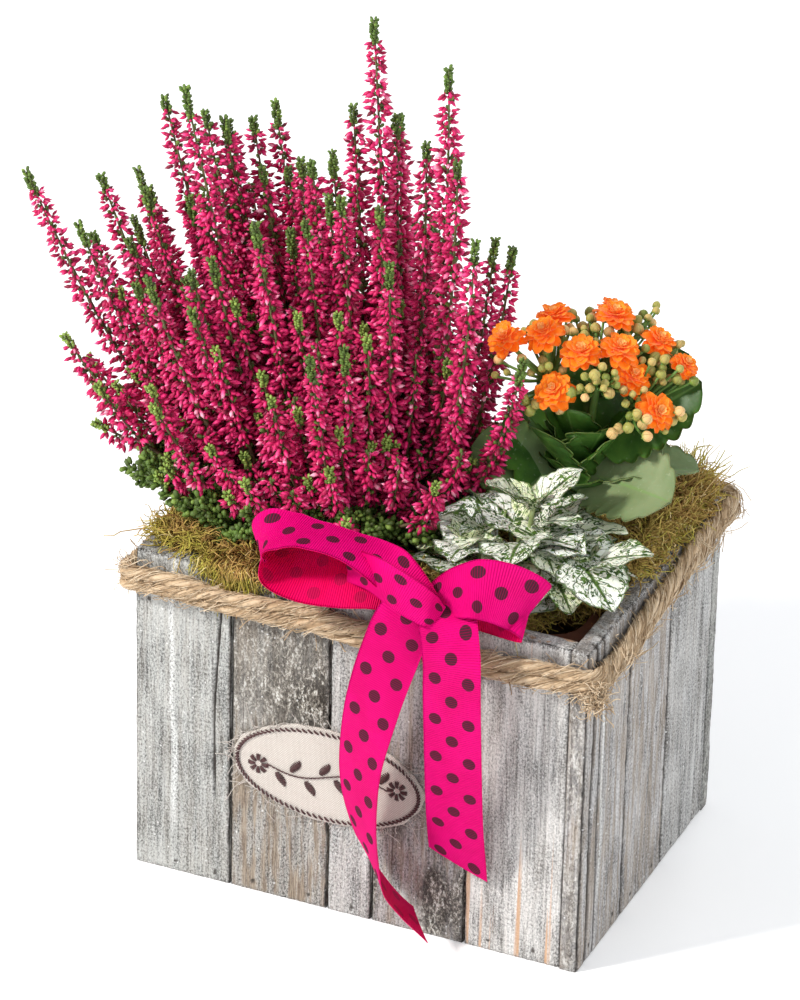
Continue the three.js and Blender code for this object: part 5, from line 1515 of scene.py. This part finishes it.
def kalanchoe_shader():
    s = Shader("kalanchoe", Specular_IOR_Level=0.32, Subsurface_Weight=0.12,
               Subsurface_Scale=0.002)
    kind, tint = s.value("kind"), s.value("tint")
    along, across, _ = s.parts(s.vector("leaf"))
    cloud, fine = s.noise(s.where(), 55.0, 4), s.noise(s.where(), 520.0, 2)
    dark = cloud.between(0.35, 0.65).blend((0.022, 0.080, 0.007), (0.070, 0.18, 0.020))
    sage = cloud.between(0.3, 0.7).blend((0.155, 0.215, 0.085), (0.225, 0.28, 0.135))
    rib = abs(across)
    blade = rib.between(0.0, 0.07, 0.5, 0).blend(tint.blend(dark, sage), (0.16, 0.30, 0.07))
    blade = rib.between(0.95, 1.0, 0, 0.4).blend(blade, (0.13, 0.15, 0.035))
    stem = cloud.between(0.3, 0.7).blend((0.10, 0.22, 0.04), (0.17, 0.30, 0.07))
    bud = tint.ramp((0.0, (0.17, 0.23, 0.04)), (0.35, (0.37, 0.35, 0.085)),
                    (0.7, (0.55, 0.39, 0.14)), (1.0, (0.74, 0.46, 0.20)))
    bud = along.between(0.05, 0.6, 0.85, 0).blend(bud, (0.22, 0.34, 0.06))
    seam = abs((across * 12.566).math("COSINE"))
    bud = seam.between(0.22, 0.0, 0, 0.75).blend(bud, (0.20, 0.15, 0.03))
    colour = kind.between(0.0, 0.5).blend(blade, stem)
    colour = kind.between(0.5, 1.0).blend(colour, bud)
    colour = fine.between(0.62, 0.75, 0, 0.12).blend(colour, (0.7, 0.75, 0.6))
    s.set(Base_Color=colour, Roughness=tint.between(0.0, 1.0, 0.46, 0.62))
    return s.bump(cloud + fine * 0.15, 0.0012, 0.5)


def crenate(width, teeth, depth):
    """Half the width of a round-toothed leaf on a short stalk."""
    def half_width(t):
        share = np.clip((t - 0.16) / 0.84, 0, 1)
        belly = np.sqrt(np.clip(1 - np.abs(2 * (0.04 + 0.96 * share) - 1) ** 2.5, 0.0004, 1))
        tooth = np.abs(np.sin(np.pi * teeth * share))
        tooth = 1 - depth * (1 - tooth) * np.clip(share * 5, 0, 1)
        return mix(1.7, width / 2 * belly * tooth * 1.04, smooth((t - 0.10) / 0.12))
    return half_width


def add_blade(heap, at, compass, rise, roll, tint, shift, *shape, **folds):
    """One leaf of a plant at its place, with its texture shifted from the other leaves'."""
    points, faces, places = leaf(*shape, **folds)
    heap.add_part(placed(points, at, compass, rise, roll), faces, BLADE, tint, places + shift)


def nearest_hub(at):
    return KALANCHOE_HUBS[np.argmin(np.linalg.norm(KALANCHOE_HUBS - at, axis=1))]


def bloom_facing(centre):
    out = unit(np.asarray(centre, float) - KALANCHOE_HEART)
    return unit(out + (0.12, -0.3, 0.55))


def add_kalanchoe():
    x, y = KALANCHOE_FOOT
    here = np.zeros(3)
    heap = Heap()
    trunk = [(x, y, soil_height(x, y) - 10), (x, y, 150), (x + 0.5, y, 168),
             (x + 1, y, KALANCHOE_TOP)]
    heap.add_part(*stalk(trunk, 3.3, 2.6, 12, 24), STEM, 0.3)
    for n, (compass, height, length, width, rise, roll) in enumerate(KALANCHOE_LEAVES):
        add_blade(heap, (x, y, height), compass, rise, roll, SAGE_LEAVES.get(n, 0.12 * draw(n, 3)),
                  here, length, crenate(width, 7 if length > 44 else 5, 0.16), 0.28, length * 0.16,
                  1.5, 60, 17, ripple=0.7, phase=n * 1.7)
    for n in range(KALANCHOE_CROWN_LEAVES):
        length = 24 + 10 * draw(n, 8)
        add_blade(heap, (x, y, 172 + 14 * draw(n, 6)), 40 * n + 25, 48 + 24 * draw(n, 5), 0,
                  0.1 * draw(n, 2), here, length, crenate(0.6 * length, 4, 0.12), 0.3, 2, 1.1,
                  40, 11, ripple=0.4)
    crown = np.array([x + 1, y, KALANCHOE_TOP])
    for hub in KALANCHOE_HUBS:
        bend = (crown + hub) / 2 + (0, 0, 3)
        heap.add_part(*stalk([(x, y, KALANCHOE_TOP - 8), bend, hub], 2.1, 1.3), STEM, 0.5)
    for *centre, _ in BLOOMS:
        facing = bloom_facing(centre)
        seat = np.array(centre, float) - 3.0 * facing
        hub = nearest_hub(centre)
        bend = mix(hub, seat, 0.6) - 1.5 * facing
        heap.add_part(*stalk([hub, bend, seat], 1.1, 0.85), STEM, 0.8)
    add_buds(heap)
    heap.build("kalanchoe_leaves", kalanchoe_shader(), "kalanchoe", ("kalanchoe_plant",))
    add_blooms()


def place_buds(rng):
    """Places and sizes of the closed buds: they touch, but stay clear of the open blooms."""
    blooms = np.array([bloom[:3] for bloom in BLOOMS], float)
    kept = []
    for *middle, wanted in BUD_CLUSTERS:
        found = 0
        for _ in range(400):
            at = np.array(middle) + rng.normal(size=3) * (3.4, 3.6, 2.6)
            size = rng.uniform(2.6, 4.3)
            clear = np.linalg.norm(blooms - at, axis=1).min() > 7.0
            near = min((np.linalg.norm(at - other) - BUD_RADIUS * (size + other_size)
                        for other, other_size in kept), default=1)
            if clear and near > -0.1:
                kept.append((at, size))
                found += 1
            if found == wanted:
                break
    return kept


def add_buds(heap):
    """Round closed buds in tight clusters round and under the blooms, each on a thin stalk."""
    shape, faces = lathe(BUD_PROFILE, BUD_SIDES)
    heights = shape[:, 2:3]
    turn = np.arctan2(shape[:, 1:2], shape[:, 0:1]) / TAU
    shape[:, :2] *= 0.95 + 0.10 * np.abs(np.cos(2 * TAU * turn)) ** 0.6
    places = np.hstack([heights, turn, 0 * heights])
    sepal = lathe([(0, 0), (0.5, 0.35), (0.4, 0.7), (0, 1.1)], 5)
    angle = np.arange(SEPALS) * TAU / SEPALS
    flat = np.column_stack([np.cos(angle), np.sin(angle), 0 * angle])
    rng = np.random.default_rng(21)
    for at, size in place_buds(rng):
        hub = nearest_hub(at)
        way = unit(unit(at - KALANCHOE_HEART) + (0, 0, 0.35) + 0.25 * rng.normal(size=3))
        bud = scatter(shape, faces, at[None], frames_along(way[None], np.array([size])))
        tint = float(np.clip(rng.normal(0.5, 0.25) + 0.16 * (size - 3.6), 0, 1))
        heap.add_part(*bud, CLOSED_BUD, tint, places)
        axes = frames_along(way[None], np.ones(1))[0]
        scale = np.tile([0.9, 0.3, 1.0], (SEPALS, 1)) * size * 0.42
        frames = frames_along((flat + (0, 0, 0.9)) @ axes, scale)
        heap.add_part(*scatter(*sepal, at + 0.24 * size * (flat @ axes), frames), STEM, 0.7)
        bend = mix(hub, at, 0.55) - 2.0 * way
        heap.add_part(*stalk([hub, bend, at + 0.3 * way], 0.7, 0.55, 6, 9), STEM, 0.6)


def bloom_shader():
    s = Shader("bloom", Roughness=0.5, Specular_IOR_Level=0.3, Subsurface_Weight=0.15,
               Subsurface_Scale=0.0015, Sheen_Weight=0.15)
    petal = s.vector("leaf")
    along, across, _ = s.parts(petal)
    base = s.value("layer").ramp((0.0, (1.0, 0.24, 0.003)), (0.6, (1.0, 0.31, 0.008)),
                                 (1.0, (1.0, 0.66, 0.25)))
    colour = abs(across).between(0.6, 1.0, 0, 0.5).blend(base, (1.0, 0.44, 0.05))
    # Deep red towards each petal's base, where the petals overlap: painted shade.
    colour = along.between(0.1, 0.75, 0.75, 0).blend(colour, (0.92, 0.075, 0.003))
    streak = s.stretched(petal, (2.0, 9.0, 1.0), 3)
    colour = streak.between(0.55, 0.75, 0, 0.14).blend(colour, (0.95, 0.12, 0.005))
    # The faint orange emission is painted glow.
    s.set(Base_Color=colour, Emission_Color=(1.0, 0.16, 0.0), Emission_Strength=BLOOM_PAINTED_GLOW)
    s.let_light_through(colour, 0.12)
    return s.bump(streak, 0.0003, 0.6)


def petal_half(wide):
    return lambda t: wide * np.sin(np.pi * np.clip(0.12 + 0.80 * t, 0, 0.94)) ** 0.75


def add_blooms():
    """Double flowers: layers of petals that rise towards the heart, on a small calyx."""
    material = bloom_shader()
    for n, (bx, by, bz, radius) in enumerate(BLOOMS):
        rng = np.random.default_rng(500 + n)
        heap = Heap()
        for level, (count, share, rise, tone) in enumerate(PETAL_LAYERS):
            for k in range(count):
                length = 1.12 * radius * share * rng.uniform(0.94, 1.08)
                points, faces, places = leaf(
                    length, petal_half(0.30 * length + 0.35), 0.22, 0.12 * length, 0.28, 9, 7,
                    ripple=0.22, phase=rng.uniform(0, 6))
                compass = 360 / count * (k + 0.5 * (level % 2)) + rng.normal(0, 5)
                turned = placed(points, (0, 0, 0.55 * level - 0.8), compass,
                                rise + rng.normal(0, 6), rng.normal(0, 9))
                heap.add(turned, faces, leaf=places, layer=tone)
        base, faces = lathe([(0, -3.0), (0.8, -2.9), (1.5, -1.6), (1.7, -0.4), (0, 0.6)], 8)
        heap.add(base, faces, leaf=np.zeros((len(base), 3)), layer=0.2)
        axes = frames_along(bloom_facing((bx, by, bz))[None], np.ones(1))[0]
        heap.points = [np.concatenate(heap.points) @ axes + (bx, by, bz)]
        heap.build(f"bloom_{n + 1:02d}", material, "bloom", (f"kalanchoe_bloom_{n + 1:02d}",))


# ---------------------------------------------------------------- hypoestes

HYPOESTES_STEM = 1.0
HYPOESTES_BROAD = [  # place, compass, rise, length, width share, roll
    ((76, -37, 172), -36, -6, 33, 0.5, -6), ((60, -42, 168), -72, -8, 27, 0.46, 4),
]
HYPOESTES_STEMS = [(33, -42, 169, 33), (57, -33, 186, 34), (80, -36, 166, 37)]
HYPOESTES_ROUND = 22


def hypoestes_shader():
    """White leaves with green veins, flecks and rims; their tint makes them yellower."""
    s = Shader("hypoestes", Roughness=0.55, Specular_IOR_Level=0.35, Subsurface_Weight=0.1,
               Subsurface_Scale=0.001)
    along, side, layer = s.parts(s.vector("leaf"))
    across = abs(side)
    run = along - across * 0.42
    second = s.noise(s.where(), 420.0, 4, 0.7)
    dashes = s.noise(s.where(), 270.0, 3, 0.6, 1.6)
    wide = s.noise(s.where(), 90.0, 2)
    veins = (abs((run * 15.0).sine()) + dashes * 0.8).between(0.46, 0.54, 1, 0)
    flow = s.add("CombineXYZ", 0, {0: run * 34.0, 1: side * 7.0, 2: layer})
    streaks = s.noise(flow, 1.0, 3, 0.6, 0.6).between(0.555, 0.575)
    midrib = (across + second * 0.1).between(0.08, 0.15, 1, 0)
    spots = (dashes + wide * 0.32).between(0.71, 0.73).most(streaks * wide.between(0.38, 0.5))
    rim = (across + second * 0.3).between(1.02, 1.12)
    mark = (veins * 0.95).most(midrib.most(spots)).most(rim * 0.9)
    pale = second.between(0.3, 0.7).blend((0.88, 0.89, 0.70), (0.66, 0.74, 0.36))
    pale = s.value("tint").blend((0.90, 0.90, 0.84), pale)
    green = second.between(0.4, 0.6).blend((0.020, 0.050, 0.006), (0.085, 0.175, 0.016))
    stem = second.blend((0.20, 0.28, 0.08), (0.36, 0.40, 0.20))
    s.set(Base_Color=s.value("kind").blend((mark * 0.99).blend(pale, green), stem))
    return s.bump(mark + second, 0.0005, 0.7)


def ovate(length, wide):
    """Half the width of a pointed oval leaf on a thin stalk."""
    def half_width(t):
        share = np.clip((t - 0.16) / 0.84, 0, 1)
        belly = np.sin(np.pi * np.clip(0.06 + 0.92 * share**0.8, 0, 0.985)) ** 0.85
        wave = 1 + 0.035 * np.sin(38 * share)
        return mix(0.85, wide * length * belly * wave, smooth((t - 0.11) / 0.10))
    return half_width


def add_hypoestes():
    x, y = HYPOESTES_FOOT
    ground = soil_height(x, y)
    heap = Heap()

    def add_stalk(*shape):
        heap.add_part(*stalk(*shape), HYPOESTES_STEM, 0.5)

    def add_low_stalk(at, *shape):
        low = np.array([x, y, ground + 2.0])
        add_stalk([low, mix(low, np.array(at), 0.5) + (0, 0, 3), at], *shape)

    add_stalk([(x, y, ground - 10), (x, y, ground - 2), (x, y, ground + 4)], 2.4, 2.0)
    for k, (*tip, longest) in enumerate(HYPOESTES_STEMS):
        tip = np.array(tip, float)
        start = np.array([x, y, ground + 1])
        bend = mix(start, tip, 0.45) + (0, 0, 4)
        add_stalk([start, bend, tip], 1.5, 1.0)
        for n, share in enumerate([0.4, 0.7, 1] if k == 1 else [0.55, 1]):
            at = catmull([start, bend, tip], [share * 0.97])[0]
            length = longest * (1 - 0.13 * n)
            for side in (0, 180):
                compass = side + 90 * n + 38 * k + 30 * draw(k, n + 3)
                add_blade(heap, at, compass, 14 + 14 * n + 12 * draw(k + 3, n + side), 0,
                          draw(k + n, side), (3 * k, 0, 2 * n), length, ovate(length, 0.40), 0.22,
                          length * 0.26, 0.45, 50, 25, curl=-0.1, ripple=0.9, phase=4 * draw(k, n))
        for n in range(4):
            length = longest * (0.52 - 0.05 * n)
            add_blade(heap, tip - (0, 0, 1), 90 * n + 30 * k + 45, 34 + 9 * n, 0, 0.9,
                      (5 * k, 0, n), length, ovate(length, 0.33), 0.34, length * 0.1, 0.4, 36, 17,
                      ripple=0.5)
    rng = np.random.default_rng(61)
    for n in range(HYPOESTES_ROUND):
        compass = n * 137.5 + 20 * draw(n, 5)
        ring = math.sqrt((n + 0.5) / HYPOESTES_ROUND)
        length = 21 + 12 * draw(n, 7)
        way = math.radians(compass)
        at = (54 + 17 * ring * math.cos(way), -33 + 9 * ring * math.sin(way),
              171 - 9 * ring + 9 * draw(n, 9))
        add_blade(heap, at, compass, 34 - 34 * ring + 14 * draw(n, 3), rng.normal(0, 16),
                  draw(n, 8), (7 * n, 0, n), length, ovate(length, 0.47), 0.2 + 0.2 * draw(n, 1),
                  length * 0.3, 0.4, 44, 21, curl=-0.12, ripple=1.1, phase=n * 1.3)
        add_low_stalk(at, 1.2, 0.8, 6, 8)
    for n, (at, compass, rise, length, wide, roll) in enumerate(HYPOESTES_BROAD):
        add_blade(heap, at, compass, rise, roll, 0.15, (4 * n + 2, 0, 9 + n), length,
                  ovate(length, wide), 0.16, length * 0.22, 0.45, 56, 27, curl=-0.1, ripple=0.8,
                  phase=2.0 * n)
        add_low_stalk(at, 1.3, 0.9, 6, 10)
    heap.build("hypoestes_leaves", hypoestes_shader(), "hypoestes", ("hypoestes_plant",))


for step in (add_camera, add_studio, add_boards, dress_tray, add_soil, add_moss, add_loose_moss,
             add_rope, add_ribbon, add_patch, add_heather, add_kalanchoe, add_hypoestes):
    step()
